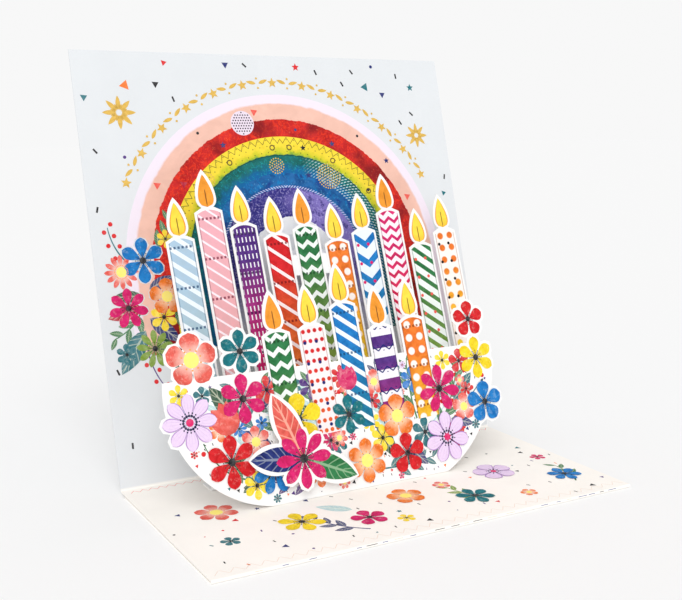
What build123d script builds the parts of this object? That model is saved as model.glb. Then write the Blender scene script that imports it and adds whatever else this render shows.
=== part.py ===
from build123d import *

import os
from math import cos, pi, radians, sin, tan

# A pop-up card standing open. Its cover is one folded sheet: a back panel that leans
# back, a base, and a flap turned under the base. A die-cut row of tall candles and a
# die-cut flower bank with short candles stand on the base, parallel to the back panel,
# held by folded struts. A bouquet stands proud of the bank on two pads. What is printed
# on the card is a set of thin fields of colour.
# X runs along the hinge fold, -Y towards the viewer and +Z up. The origin is the middle
# of the base, on the face that the card rests on.

os.makedirs("parts", exist_ok=True)

# Cover, in millimetres and degrees
card_width = 150.0
panel_height = 150.0
base_depth = 78.0
lean = 15.7
cover_stock = 0.4
cover_crease = 0.3
flap_gap = 0.3
flap_setback = 4.0

# Card of the inner pieces
layer_stock = 0.3
strut_stock = 0.25
layer_crease = 0.2
foot_length = 8.0
glue_tab = 7.0

# Row of tall candles
row_depth = 15.0
row_margin_left = 26.0
row_margin_right = 9.0
row_band_height = 33.0
row_cutback = 30.0
tall_pitch = 11.0
tall_lowest = 77.0
tall_rise = 17.0
tall_swing = (0.45, 1.0, 0.65, 0.4, 0.55, 0.2, 0.4, 0.8, 0.0, 0.3)
tall_inks = ("blue", "pink", "violet", "red", "green", "orange", "blue", "pink", "green", "orange")

# Candles and flames
candle_width = 8.6
candle_shoulder = 1.4
candle_flat = 0.55
candle_tilt = 3.0
flame_width = 5.8
flame_height = 11.5
wick_length = 1.0
white_border = 0.8

# Flower bank with short candles
bank_depth = 37.5
bank_margin_left = 5.5
bank_margin_right = 20.0
bank_height = 43.0
bank_curl_left = 34.0
bank_curl_right = 26.0
bank_shoulder = 14.0
short_pitch = 12.0
short_lowest = 53.0
short_rise = 9.0
short_swing = (0.2, 0.3, 1.0, 0.0, 0.2)
short_inset_left = 43.5
short_inset_right = 29.0
short_print_foot = 20.0
short_inks = ("green", "red", "blue", "violet", "orange")

# Bouquet and its pads
bouquet_inset = 43.5
bouquet_rise = 13.5
bouquet_radius = 9.8
leaf_length = 19.0
leaf_width = 8.5
bud_length = 22.0
pad_thickness = 2.5
pad_size = 7.0

# Struts
strut_under_tops = 1.0
side_strut_height = 24.0
side_strut_width = 14.0
strut_clearance = 2.0

# Petals and centres, as shares of a blossom's radius and of a petal's width
petal_foot = 0.24
petal_widest = 0.66
petal_shoulder = 0.93
shoulder_width = 0.62
petal_fill = 0.84
centre_share = 0.18
centre_sides = 6

# Printed flame, as shares of its half width and of its height, from its foot up
flame_rim = ((0.35, 0.0), (1.0, 0.24), (0.75, 0.52))

# Printed arch on the back panel, the parts that its bands take from its bare core
# outwards, and the stars round it
arch_headroom = 15.0
arch_margin = 11.0
arch_leg = 27.0
arch_core = 11.0
arch_parts = {
    "violet": 10,
    "blue": 11,
    "green": 8,
    "yellow": 8,
    "red": 9,
    "peach": 7,
}
star_count = 13
star_points = 5
star_radius = 2.0
star_notch = 0.45
star_gap = 4.5
star_turn = 62.0

# A field of ink stands this proud of the card, and this far from the next one
ink = 0.06
ink_gap = 0.25

# Places that follow from the sizes
hinge_y = base_depth / 2
base_top = 2 * cover_stock + flap_gap
left_edge = -card_width / 2
right_edge = card_width / 2
row_left = left_edge + row_margin_left
row_right = right_edge - row_margin_right
bank_left = left_edge + bank_margin_left
bank_right = right_edge - bank_margin_right
bouquet_x = bank_left + bouquet_inset
arch_outer = card_width / 2 - arch_margin
arch_rise = panel_height - arch_headroom - arch_outer
arch_part = (arch_outer - arch_core) / sum(arch_parts.values())
upper_strut_width = 2 * (arch_core - strut_clearance)
upper_strut_height = tall_lowest - strut_under_tops
lean_sin = sin(radians(lean))
lean_cos = cos(radians(lean))


def upright_plane(depth):
    """Plane parallel to the back panel's face, that far in front of the hinge along the base."""
    return Plane(
        origin=(0, hinge_y - depth, base_top),
        x_dir=(1, 0, 0),
        z_dir=(0, -lean_cos, lean_sin),
    )


def in_section(depth, height, behind=0.0):
    """Point in the YZ section: up a layer's face, and square behind it."""
    return (
        hinge_y - depth + height * lean_sin + behind * lean_cos,
        base_top + height * lean_cos - behind * lean_sin,
    )


def spread(first, last, count):
    """Evenly spaced places from first to last, both included."""
    step = (last - first) / (count - 1)
    return [first + step * index for index in range(count)]


base_plane = Plane(origin=(0, hinge_y, base_top))
panel_plane = upright_plane(0)
row_plane = upright_plane(row_depth)
bank_plane = upright_plane(bank_depth)
bouquet_plane = bank_plane.offset(pad_thickness + layer_stock)


def candle_places(first, last, pitch, inks, lowest, rise, swing):
    """Foot, top and ink of each candle: as many as the row holds, their tops up and down."""
    feet = spread(first, last, int((last - first) / pitch) + 1)
    return [
        (foot, lowest + rise * swing[index % len(swing)], inks[index % len(inks)])
        for index, foot in enumerate(feet)
    ]


tall_candles = candle_places(
    row_left + candle_width / 2,
    row_right - candle_width / 2,
    tall_pitch,
    tall_inks,
    tall_lowest,
    tall_rise,
    tall_swing,
)
short_candles = candle_places(
    bank_left + short_inset_left,
    bank_right - short_inset_right,
    short_pitch,
    short_inks,
    short_lowest,
    short_rise,
    short_swing,
)

# Blossoms, each list in painting order: x, height, radius, petals and ink
low = spread(bank_left + 20, bank_right - 15, 6)
high = spread(bank_left + 8, bank_right - 6, 7)
bank_blossoms = [
    (high[0] + 3, 49, 8.5, 5, "coral"),
    (high[1] + 1, 50, 7.0, 6, "teal"),
    (high[6] - 2, 52, 6.5, 5, "red"),
    (high[6] - 1, 38, 7.5, 6, "yellow"),
    (high[0], 30, 9.0, 8, "lilac"),
    (high[1], 35, 8.0, 6, "pink"),
    (high[2], 26, 8.5, 5, "yellow"),
    (high[3], 25, 6.5, 6, "teal"),
    (high[4], 22, 7.5, 5, "orange"),
    (high[5], 29, 8.5, 7, "pink"),
    (high[6], 22, 7.5, 5, "blue"),
    (low[0], 16, 8.5, 6, "red"),
    (low[1] - 4, 11, 7.5, 7, "blue"),
    (low[3] - 6, 9, 7.5, 6, "orange"),
    (low[4] - 8, 9, 7.0, 5, "red"),
    (low[5] - 9, 12, 9.0, 7, "lilac"),
]
across = spread(left_edge + 20, right_edge - 12, 7)
base_blossoms = [
    (across[0], -33, 7.0, 6, "coral"),
    (across[1], -53, 7.5, 6, "yellow"),
    (across[2], -60, 6.0, 5, "pink"),
    (across[3], -50, 6.5, 5, "orange"),
    (across[4], -61, 6.5, 6, "teal"),
    (across[5], -45, 7.5, 5, "lilac"),
    (across[6], -59, 6.0, 6, "blue"),
]
panel_blossoms = [
    (left_edge + 17, arch_rise + 5, 8.0, 6, "blue"),
    (left_edge + 10, arch_rise - 11, 7.0, 7, "pink"),
    (left_edge + 24, arch_rise - 8, 6.5, 5, "orange"),
]
bouquet_blossoms = [(bouquet_x, bouquet_rise, bouquet_radius, 8, "pink")]
blossom_inks = ("coral", "teal", "red", "yellow", "lilac", "pink", "orange", "blue")

# Leaves and bud of the bouquet, each from its foot to its tip
bouquet_heart = (bouquet_x, bouquet_rise)
navy_leaf = (bouquet_heart, (bouquet_x - leaf_length, bouquet_rise + leaf_width / 4))
green_leaf = (bouquet_heart, (bouquet_x + leaf_length, bouquet_rise - leaf_width))
coral_bud = (bouquet_heart, (bouquet_x - leaf_width, bouquet_rise + bud_length))
pad_places = [
    (bouquet_x - pad_size * 3 / 4, bouquet_rise),
    (bouquet_x + pad_size * 3 / 4, bouquet_rise),
]


def fold_card(corners, stock, crease, width, middle=0.0):
    """Adds a strip of card whose mid line is folded at the corners, centred on middle in X."""
    with BuildSketch(Plane.YZ.offset(middle)) as section:
        with BuildLine():
            FilletPolyline(*corners, radius=crease + stock / 2)
        trace(line_width=stock)
    extrude(section.sketch, amount=width / 2, both=True)


def layer_corners(depth, height):
    """Mid line of a standing layer: its foot turned back along the base, then up its face."""
    mid = layer_stock / 2
    fold_y = hinge_y - depth + mid * tan(radians(90 + lean) / 2)
    return [
        (fold_y + foot_length, base_top + mid),
        (fold_y, base_top + mid),
        in_section(depth, height, mid),
    ]


def strut_corners(rear_depth, front_depth, height, rear_end):
    """Mid line of a strut: a tab on the face behind, a level run, and a tab down the back in front."""
    mid = strut_stock / 2
    front = layer_stock + mid
    return [
        in_section(rear_depth, rear_end, -mid),
        in_section(rear_depth, height - mid * lean_sin / lean_cos, -mid),
        in_section(front_depth, height + front * lean_sin / lean_cos, front),
        in_section(front_depth, height - glue_tab, front),
    ]


def candle_body(foot, bottom, top, border=0.0):
    """Adds a candle with sloped shoulders, tilted about its foot."""
    side = candle_width / 2 + border
    crown = candle_width / 2 * candle_flat
    right = [(side, bottom), (side, top + border - candle_shoulder), (crown, top + border)]
    left = [(-x, y) for x, y in reversed(right)]
    with Locations(Location((foot, 0, 0), (0, 0, candle_tilt))):
        Polygon(*right, *left, align=None)


def flame(foot, top, border):
    """Adds a flame over a candle: half a circle below, two tangent arcs up to its point."""
    bulb = flame_width / 2 + border
    waist = top + wick_length + flame_width / 2
    tip = top + wick_length + flame_height + 2 * border
    with BuildLine() as rim:
        ThreePointArc((-bulb, waist), (0, waist - bulb), (bulb, waist))
        TangentArc((bulb, waist), (0, tip), tangent=(0, 1))
        TangentArc((-bulb, waist), (0, tip), tangent=(0, 1))
    shape = make_face(rim.edges(), mode=Mode.PRIVATE)
    with Locations(Location((foot, 0, 0), (0, 0, candle_tilt))):
        add(shape)


def flame_print(foot, top):
    """Adds the printed part of a flame: a drop with straight sides."""
    base = top + wick_length
    right = [(share * flame_width / 2, base + rise * flame_height) for share, rise in flame_rim]
    left = [(-x, y) for x, y in reversed(right)]
    with Locations(Location((foot, 0, 0), (0, 0, candle_tilt))):
        Polygon(*right, (0, base + flame_height), *left, align=None)


def leaf(foot, tip, width):
    """Adds a leaf: two arcs between its foot and its tip."""
    with BuildLine() as rim:
        SagittaArc(foot, tip, width / 2)
        SagittaArc(tip, foot, width / 2)
    make_face(rim.edges())


def petals(x, height, radius, count, border=0.0, mode=Mode.ADD):
    """Adds a ring of petals, each widest towards its tip."""
    half_width = petal_fill * petal_widest * radius * tan(pi / count)
    right = [
        (petal_widest * radius, -half_width - border),
        (petal_shoulder * radius + border / 2, -shoulder_width * half_width - border),
    ]
    left = [(reach, -side) for reach, side in reversed(right)]
    with Locations((x, height)):
        with PolarLocations(0, count, start_angle=90):
            Polygon(
                (petal_foot * radius - border, 0),
                *right,
                (radius + border, 0),
                *left,
                align=None,
                mode=mode,
            )


def whole_blossom(x, height, radius, count, border, mode=Mode.ADD):
    """Adds a blossom's petals and its middle, grown by a border."""
    with Locations((x, height)):
        Circle(radius / 2, mode=mode)
    petals(x, height, radius, count, border, mode)


def print_petals(blossoms, tint):
    """Adds the petals of one ink, cut back wherever a blossom painted later covers them."""
    started = False
    for x, height, radius, count, shade in blossoms:
        if started:
            whole_blossom(x, height, radius, count, ink_gap, Mode.SUBTRACT)
        if shade == tint:
            petals(x, height, radius, count)
            started = True


def print_centres(blossoms):
    """Adds the centre of each blossom, cut back wherever a later blossom covers it."""
    started = False
    for x, height, radius, count, shade in blossoms:
        if started:
            whole_blossom(x, height, radius, count, ink_gap, Mode.SUBTRACT)
        with Locations((x, height)):
            RegularPolygon(centre_share * radius, centre_sides)
        started = True


def clear_blossoms(blossoms):
    """Keeps the print of a sheet off its blossoms."""
    for x, height, radius, count, tint in blossoms:
        whole_blossom(x, height, radius, count, ink_gap, Mode.SUBTRACT)


def clear_pads():
    """Keeps the bank's print off the pads."""
    with Locations(*pad_places):
        Rectangle(pad_size + 2 * ink_gap, pad_size + 2 * ink_gap, mode=Mode.SUBTRACT)


def clear_tab():
    """Keeps the back panel's print off the upper strut's tab."""
    with Locations((0, upper_strut_height - glue_tab / 2)):
        Rectangle(
            upper_strut_width + 2 * ink_gap,
            glue_tab + 2 * (strut_stock + ink_gap),
            mode=Mode.SUBTRACT,
        )


def keep(part, name):
    """Labels a finished piece and writes it."""
    part.label = name
    export_step(part, f"parts/{name}.step")


# Cover: flap, front fold, base, hinge fold and back panel in one sheet
turn_radius = (cover_stock + flap_gap) / 2
turn_y = hinge_y - base_depth + turn_radius + cover_stock / 2
flap_mid = cover_stock / 2
base_mid = base_top - cover_stock / 2
with BuildPart() as card_cover:
    with BuildSketch(Plane.YZ):
        with BuildLine():
            Line((hinge_y - flap_setback, flap_mid), (turn_y, flap_mid))
            ThreePointArc(
                (turn_y, flap_mid),
                (turn_y - turn_radius, base_top / 2),
                (turn_y, base_mid),
            )
            FilletPolyline(
                (turn_y, base_mid),
                (hinge_y + cover_stock / 2 * tan(radians(90 - lean) / 2), base_mid),
                in_section(0, panel_height, cover_stock / 2),
                radius=cover_crease + cover_stock / 2,
            )
        trace(line_width=cover_stock)
    extrude(amount=card_width / 2, both=True)
keep(card_cover.part, "card_cover")

# Row of tall candles on a band, cut through from the front, with a glued foot
row_reach = tall_lowest + tall_rise + wick_length + flame_height + 4 * white_border
die_back = 2 * foot_length
with BuildPart() as candle_row:
    fold_card(layer_corners(row_depth, row_reach), layer_stock, layer_crease, card_width)
    with BuildSketch(row_plane.offset(-die_back)):
        Polygon(
            (row_left, 0),
            (row_right - row_cutback, 0),
            (row_right, row_band_height),
            (row_left, row_band_height),
            align=None,
        )
        for foot, top, tint in tall_candles:
            candle_body(foot, row_band_height / 2, top, white_border)
            flame(foot, top, white_border)
    extrude(amount=2 * die_back, mode=Mode.INTERSECT)
keep(candle_row.part, "candle_row")

# Flower bank: a bowl-shaped field with blossoms and short candles round its rim
bank_reach = short_lowest + short_rise + wick_length + flame_height + 4 * white_border
with BuildPart() as flower_bank:
    fold_card(layer_corners(bank_depth, bank_reach), layer_stock, layer_crease, card_width)
    with BuildSketch(bank_plane.offset(-die_back)):
        with BuildLine():
            Line((bank_left + bank_curl_left, 0), (bank_right - bank_curl_right, 0))
            ThreePointArc(
                (bank_right - bank_curl_right, 0),
                (bank_right - bank_curl_right / 3, bank_shoulder),
                (bank_right, bank_height),
            )
            Line((bank_right, bank_height), (bank_left + white_border, bank_height))
            ThreePointArc(
                (bank_left + white_border, bank_height),
                (bank_left + bank_curl_left / 4, bank_shoulder),
                (bank_left + bank_curl_left, 0),
            )
        make_face()
        for foot, top, tint in short_candles:
            candle_body(foot, bank_shoulder, top, white_border)
            flame(foot, top, white_border)
        for x, height, radius, count, tint in bank_blossoms:
            whole_blossom(x, height, radius, count, white_border)
    extrude(amount=2 * die_back, mode=Mode.INTERSECT)
keep(flower_bank.part, "flower_bank")

# Bouquet: one blossom, two leaves and a bud, cut out with a white border
with BuildPart() as bouquet:
    with BuildSketch(bouquet_plane):
        for x, height, radius, count, tint in bouquet_blossoms:
            whole_blossom(x, height, radius, count, white_border)
        for foot, tip in (navy_leaf, green_leaf, coral_bud):
            leaf(foot, tip, leaf_width + 2 * white_border)
    extrude(amount=-layer_stock)
keep(bouquet.part, "bouquet")

with BuildPart() as bouquet_pads:
    with BuildSketch(bank_plane):
        with Locations(*pad_places):
            Rectangle(pad_size, pad_size)
    extrude(amount=pad_thickness)
keep(bouquet_pads.part, "bouquet_pads")

# Upper strut, from the middle of the back panel's arch to the back of the candle row
with BuildPart() as upper_strut:
    fold_card(
        strut_corners(0, row_depth, upper_strut_height, upper_strut_height - glue_tab),
        strut_stock,
        layer_crease,
        upper_strut_width,
    )
keep(upper_strut.part, "upper_strut")

# Side struts, from the candle row's band to the back of the bank
side_places = {
    "left": row_left + strut_clearance + side_strut_width / 2,
    "right": bank_right - bank_curl_right / 2 - side_strut_width / 2,
}
for side, middle in side_places.items():
    with BuildPart() as side_strut:
        fold_card(
            strut_corners(row_depth, bank_depth, side_strut_height, side_strut_height + glue_tab),
            strut_stock,
            layer_crease,
            side_strut_width,
            middle,
        )
    keep(side_strut.part, f"{side}_strut")


def arch(radius):
    """Face of an upright arch: half a circle on two straight legs."""
    leg_end = arch_rise - arch_leg
    with BuildLine() as rim:
        Line((radius, arch_rise), (radius, leg_end))
        Line((radius, leg_end), (-radius, leg_end))
        Line((-radius, leg_end), (-radius, arch_rise))
        ThreePointArc((-radius, arch_rise), (0, arch_rise + radius), (radius, arch_rise))
    return make_face(rim.edges(), mode=Mode.PRIVATE)


# Printed arch, one node a band, cut back round the strut's tab and the blossoms beside it
arch_reach = arch_core
for tint, parts in arch_parts.items():
    band_width = parts * arch_part
    with BuildPart() as band:
        with BuildSketch(panel_plane):
            add(arch(arch_reach + band_width))
            add(arch(arch_reach), mode=Mode.SUBTRACT)
            clear_tab()
            clear_blossoms(panel_blossoms)
        extrude(amount=ink)
    arch_reach += band_width
    keep(band.part, f"arch_{tint}")

# Stars round the arch, their points and notches at equal turns
star_turns = spread(-star_turn, star_turn, star_count)
star_reach = arch_reach + star_gap
star_rim = []
for step in range(2 * star_points):
    reach = star_radius if step % 2 == 0 else star_radius * star_notch
    turn = pi * step / star_points
    star_rim.append((reach * sin(turn), reach * cos(turn)))
with BuildPart() as gold_stars:
    with BuildSketch(panel_plane):
        for turn in star_turns:
            x = star_reach * sin(radians(turn))
            height = arch_rise + star_reach * cos(radians(turn))
            with Locations(Location((x, height, 0), (0, 0, -turn))):
                Polygon(*star_rim, align=None)
        clear_blossoms(panel_blossoms)
    extrude(amount=ink)
keep(gold_stars.part, "gold_stars")

# Candles, one node an ink, tall ones from the band up and short ones behind the blossoms
for tint in sorted(set(tall_inks + short_inks)):
    with BuildPart() as candle_print:
        if tint in tall_inks:
            with BuildSketch(row_plane):
                for foot, top, shade in tall_candles:
                    if shade == tint:
                        candle_body(foot, row_band_height, top)
            extrude(amount=ink)
        if tint in [shade for foot, top, shade in short_candles]:
            with BuildSketch(bank_plane):
                for foot, top, shade in short_candles:
                    if shade == tint:
                        candle_body(foot, short_print_foot, top)
                clear_blossoms(bank_blossoms)
            extrude(amount=ink)
    keep(candle_print.part, f"candles_{tint}")

with BuildPart() as flames:
    with BuildSketch(row_plane):
        for foot, top, tint in tall_candles:
            flame_print(foot, top)
    extrude(amount=ink)
    with BuildSketch(bank_plane):
        for foot, top, tint in short_candles:
            flame_print(foot, top)
    extrude(amount=ink)
keep(flames.part, "flames")

# Blossoms, one node an ink, and their centres
printed_sheets = (
    (bank_plane, bank_blossoms),
    (base_plane, base_blossoms),
    (panel_plane, panel_blossoms),
    (bouquet_plane, bouquet_blossoms),
)
for tint in blossom_inks:
    with BuildPart() as blossom_print:
        for plane, blossoms in printed_sheets:
            if tint in [blossom[-1] for blossom in blossoms]:
                with BuildSketch(plane):
                    print_petals(blossoms, tint)
                    if plane is bank_plane:
                        clear_pads()
                extrude(amount=ink)
    keep(blossom_print.part, f"blossoms_{tint}")

with BuildPart() as centres:
    for plane, blossoms in printed_sheets:
        with BuildSketch(plane):
            print_centres(blossoms)
            if plane is bank_plane:
                clear_pads()
        extrude(amount=ink)
keep(centres.part, "blossom_centres")

# Leaves and bud of the bouquet, cut back round its blossom
for name, (foot, tip) in (("leaf_navy", navy_leaf), ("leaf_green", green_leaf), ("bud_coral", coral_bud)):
    with BuildPart() as leaf_print:
        with BuildSketch(bouquet_plane):
            leaf(foot, tip, leaf_width)
            clear_blossoms(bouquet_blossoms)
        extrude(amount=ink)
    keep(leaf_print.part, name)
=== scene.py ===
"""Printed looks of a pop-up card: card stock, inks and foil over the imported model."""

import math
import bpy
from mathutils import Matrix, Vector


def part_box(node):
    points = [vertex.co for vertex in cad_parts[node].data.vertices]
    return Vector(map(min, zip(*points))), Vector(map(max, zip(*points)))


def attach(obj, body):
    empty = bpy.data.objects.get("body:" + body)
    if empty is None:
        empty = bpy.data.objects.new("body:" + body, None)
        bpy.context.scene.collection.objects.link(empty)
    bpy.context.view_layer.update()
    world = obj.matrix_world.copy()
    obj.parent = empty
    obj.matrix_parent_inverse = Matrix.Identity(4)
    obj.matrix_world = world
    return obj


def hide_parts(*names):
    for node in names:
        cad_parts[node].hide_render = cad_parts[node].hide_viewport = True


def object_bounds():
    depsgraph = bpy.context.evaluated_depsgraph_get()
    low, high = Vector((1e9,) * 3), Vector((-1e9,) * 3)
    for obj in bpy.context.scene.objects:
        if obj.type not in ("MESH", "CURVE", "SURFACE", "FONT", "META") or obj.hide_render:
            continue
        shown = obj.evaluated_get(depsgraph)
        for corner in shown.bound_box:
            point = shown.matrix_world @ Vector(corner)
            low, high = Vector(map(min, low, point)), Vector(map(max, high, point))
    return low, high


bl_info = {
    "name": "Pop-up card looks",
    "version": (1, 0, 0),
    "blender": (4, 5, 0),
    "location": "View3D > Sidebar > Card",
    "description": "Dresses the pop-up card with its card stock, printed arch, candles and blossoms",
    "category": "Object",
}

import bpy
import bmesh
import numpy as np
from mathutils import Matrix, Vector

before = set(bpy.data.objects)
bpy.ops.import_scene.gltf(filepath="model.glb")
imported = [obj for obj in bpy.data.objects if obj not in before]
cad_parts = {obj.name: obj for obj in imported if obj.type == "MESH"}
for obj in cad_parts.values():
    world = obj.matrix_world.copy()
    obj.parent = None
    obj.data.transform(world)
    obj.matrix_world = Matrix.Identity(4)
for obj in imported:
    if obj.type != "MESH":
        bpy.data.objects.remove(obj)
cad_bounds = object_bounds()

MM = 0.001
BODY = "root"
WHITE = (1.0, 1.0, 1.0)
DARK = (0.0, 0.0, 0.0)
BASE_TOP = float(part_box("candle_row")[0][2])
COVER_FRONT = float(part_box("card_cover")[0][1])

# Soft light: name, strength, spread in degrees and way of each lamp, and the strength of the sky
LAMPS = (
    ("Key", 0.98, 40, (0.38, 0.72, -0.98)),
    ("Fill", 0.66, 30, (0.45, 0.86, -0.35)),
)
SKY = 0.71
FLOOR_REACH = 6.0

# Camera: place in metres, way that it looks, roll in degrees and lens in millimetres
CAMERA_PLACE = (-0.1699, -0.2793, 0.1196)
CAMERA_WAY = (0.4814, 0.8605, -0.1668)
CAMERA_ROLL = -0.2
CAMERA_LENS = 54.42

# All places of the printed motifs are in millimetres, as the model has them.
# Tall and short candles: foot, lowest top, rise of the tops, and where each top lies in that rise
TALL_FOOT, TALL_LOWEST, TALL_RISE = 33.0, 77.0, 17.0
SHORT_FOOT, SHORT_LOWEST, SHORT_RISE = 20.0, 53.0, 9.0
TALL_SWING = (0.45, 1.0, 0.65, 0.4, 0.55, 0.2, 0.4, 0.8, 0.0, 0.3)
SHORT_SWING = (0.2, 0.3, 1.0, 0.0, 0.2)
# Half a candle's width, and how far the short row's ends lie inside the bank's sides
CANDLE_HALF = 4.3
SHORT_INSETS = (43.5, 29.0)
TALL_INKS = ("blue", "pink", "violet", "red", "green", "orange", "blue", "pink", "green", "orange")
SHORT_INKS = ("green", "red", "blue", "violet", "orange")
BLOSSOM_INKS = ("coral", "teal", "red", "yellow", "lilac", "pink", "orange", "blue")
ARCH_BANDS = (
    ("violet", 10.0), ("blue", 11.0), ("green", 8.0), ("yellow", 8.0), ("red", 9.0), ("peach", 7.0),
)
# Second ink of each candle's ornament, and the ink that it fades into towards its foot
CANDLE_MATES = {
    "blue": ("pink", "teal"),
    "green": ("coral", "olive"),
    "orange": ("black", "yellow"),
    "pink": ("orange", "red"),
    "red": ("navy", "orange"),
    "violet": ("navy", "pink"),
}
# Inks whose first candle is paler
PALE_CANDLES = ("blue", "pink")
# Where the paint of each band begins and ends, from the arch's centre; it runs past the band's own edges
ARCH_PAINT = {
    "bare": (0.0, 17.5), "violet": (17.5, 28.5), "blue": (28.5, 34.2), "green": (34.2, 41.2),
    "yellow": (41.2, 48.0), "red": (48.0, 54.6), "peach": (54.6, 64.0),
}
# Pools of each paint of the arch: depth and size; the bare core's white, painted lighter than the card as
# painted light against the candle row's shade, and the thread of the yellow's ornament
ARCH_WASH = {
    "violet": (0.14, 4.0), "blue": (0.2, 4.5), "green": (0.14, 4.0), "yellow": (0.06, 4.0),
    "red": (0.16, 5.0), "peach": (0.05, 9.0),
}
# Bare card of the core, painted lighter than the panel's card to offset the shade that the candle row casts
# there
ARCH_BARE_PAINTED_LIGHT = (0.95, 0.957, 0.965)
ARCH_THREAD = (0.24, 0.20, 0.14)

# Gold stars over the arch: how many, how far they turn from its top, and their gap to its edge
STAR_COUNT = 13
STAR_TURN = 62.0
STAR_GAP = 4.5

# Foil: bursts beside the arch (x, height, reach) and rosettes of dots on it (turn, reach, rings)
FOIL_BURSTS = ((-60.0, 128.0, 6.0), (61.0, 119.0, 5.0))
ROSETTES = ((30.0, 37.5, 6), (-44.0, 44.5, 4), (-4.0, 37.0, 4))

# Garland between the stars: turns of a leaf's foot and tip in degrees, rise of its tip, and rows of dots
GARLAND_FOOT, GARLAND_TIP, GARLAND_RISE = 0.5, 3.6, 1.2
GARLAND_DOTS = (-1.7, 1.9)

# Small marks on the arch: turn, reach, kind and ink
ARCH_MARKS = (
    (-58.0, 58.5, "peak", "coral"), (-33.0, 59.0, "spot", "black"), (-27.0, 50.5, "star", "navy"),
    (-9.0, 58.0, "peak", "coral"), (8.0, 51.0, "spot", "navy"), (12.0, 44.5, "star", "black"),
    (26.0, 50.0, "star", "navy"), (35.0, 58.5, "spot", "black"), (50.0, 59.0, "star", "navy"),
    (53.0, 44.0, "spot", "black"), (66.0, 57.5, "peak", "coral"), (17.0, 34.5, "star", "navy"),
    (-16.0, 24.5, "spot", "black"), (14.0, 24.0, "star", "navy"), (-52.0, 50.5, "peak", "crimson"),
)
MARK_SIZES = {"star": 1.3, "spot": 0.55, "peak": 1.6}

# Dotted disc on the arch: turn, reach, radius
DOTTED_DISC = (-15.0, 55.0, 4.6)


def spread(first, last, count):
    """Evenly spaced places from first to last, both included."""
    return [float(place) for place in np.linspace(first, last, count)]


LEFT_EDGE = -75.0
RIGHT_EDGE = 75.0
ROW_LEFT = LEFT_EDGE + 26.0
ROW_RIGHT = RIGHT_EDGE - 9.0
BANK_LEFT = LEFT_EDGE + 5.5
BANK_RIGHT = RIGHT_EDGE - 20.0

# Printed field of the bank: its level foot and top, and the round at each side as x, height, radius
BANK_FOOT, BANK_TOP = 0.4, 42.6
LEFT_ROUND = (-31.6, 37.33, 37.1)
RIGHT_ROUND = (10.64, 40.46, 44.0)
BANK_FIELD = ((BANK_LEFT, 2.0), (BANK_RIGHT, 42.0))
LOW = spread(BANK_LEFT + 20, BANK_RIGHT - 15, 6)
HIGH = spread(BANK_LEFT + 8, BANK_RIGHT - 6, 7)

# Each blossom: x, height, radius, petals, ink; later ones lie over earlier ones
BANK_BLOSSOMS = (
    (HIGH[0] + 3, 49, 8.5, 5, "coral"), (HIGH[1] + 1, 50, 7.0, 6, "teal"),
    (HIGH[6] - 2, 52, 6.5, 5, "red"), (HIGH[6] - 1, 38, 7.5, 6, "yellow"),
    (HIGH[0], 30, 9.0, 8, "lilac"), (HIGH[1], 35, 8.0, 6, "pink"), (HIGH[2], 26, 8.5, 5, "yellow"),
    (HIGH[3], 25, 6.5, 6, "teal"), (HIGH[4], 22, 7.5, 5, "orange"), (HIGH[5], 29, 8.5, 7, "pink"),
    (HIGH[6], 22, 7.5, 5, "blue"), (LOW[0], 16, 8.5, 6, "red"), (LOW[1] - 4, 11, 7.5, 7, "blue"),
    (LOW[3] - 6, 9, 7.5, 6, "orange"), (LOW[4] - 8, 9, 7.0, 5, "red"),
    (LOW[5] - 9, 12, 9.0, 7, "lilac"),
)
ACROSS = spread(LEFT_EDGE + 20, RIGHT_EDGE - 12, 7)
BASE_BLOSSOMS = (
    (ACROSS[0], -33, 7.0, 6, "coral"), (ACROSS[1], -53, 7.5, 6, "yellow"),
    (ACROSS[2], -60, 6.0, 5, "pink"), (ACROSS[3], -50, 6.5, 5, "orange"),
    (ACROSS[4], -61, 6.5, 6, "teal"), (ACROSS[5], -45, 7.5, 5, "lilac"),
    (ACROSS[6], -59, 6.0, 6, "blue"),
)
PANEL_BLOSSOMS = (
    (LEFT_EDGE + 17, 76, 8.0, 6, "blue"), (LEFT_EDGE + 10, 60, 7.0, 7, "pink"),
    (LEFT_EDGE + 24, 63, 6.5, 5, "orange"),
)
BOUQUET_INSET = 43.5
BOUQUET_X = BANK_LEFT + BOUQUET_INSET
BOUQUET_RISE = 13.5
PETAL_WIDEST = 0.66
PETAL_FILL = 0.9

# Lift of the print that lies under the large blossoms, in shares of the ink
LOW_PRINT = {"bank": 0.2, "base": 0.2, "panel": 0.87}
SMALL_PRINT = {"bank": 0.4, "base": 0.4, "panel": 0.92}

# Kinds of blossom: 0 full ink, as most are, 1 pale with drawn veins, 2 with a pale heart
PETAL_SLIM = (0.8, 0.95, 0.9)
BLOSSOM_KINDS = {"coral": 2, "lilac": 1, "orange": 2}
BOUQUET_BLOSSOMS = ((BOUQUET_X, BOUQUET_RISE, 9.8, 8, "pink"),)
LARGE_BLOSSOMS = {
    "bank": BANK_BLOSSOMS, "base": BASE_BLOSSOMS, "panel": PANEL_BLOSSOMS, "bouquet": BOUQUET_BLOSSOMS,
}
# Leaves of the bouquet: node, place of the tip from its middle, ink and width in shares of the length
BOUQUET_LEAVES = (
    ("leaf_navy", -18.4, 2.0, "navy", 0.215),
    ("leaf_green", 18.4, -8.2, "green", 0.2),
    ("bud_coral", -8.2, 21.3, "coral", 0.175),
)

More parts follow.
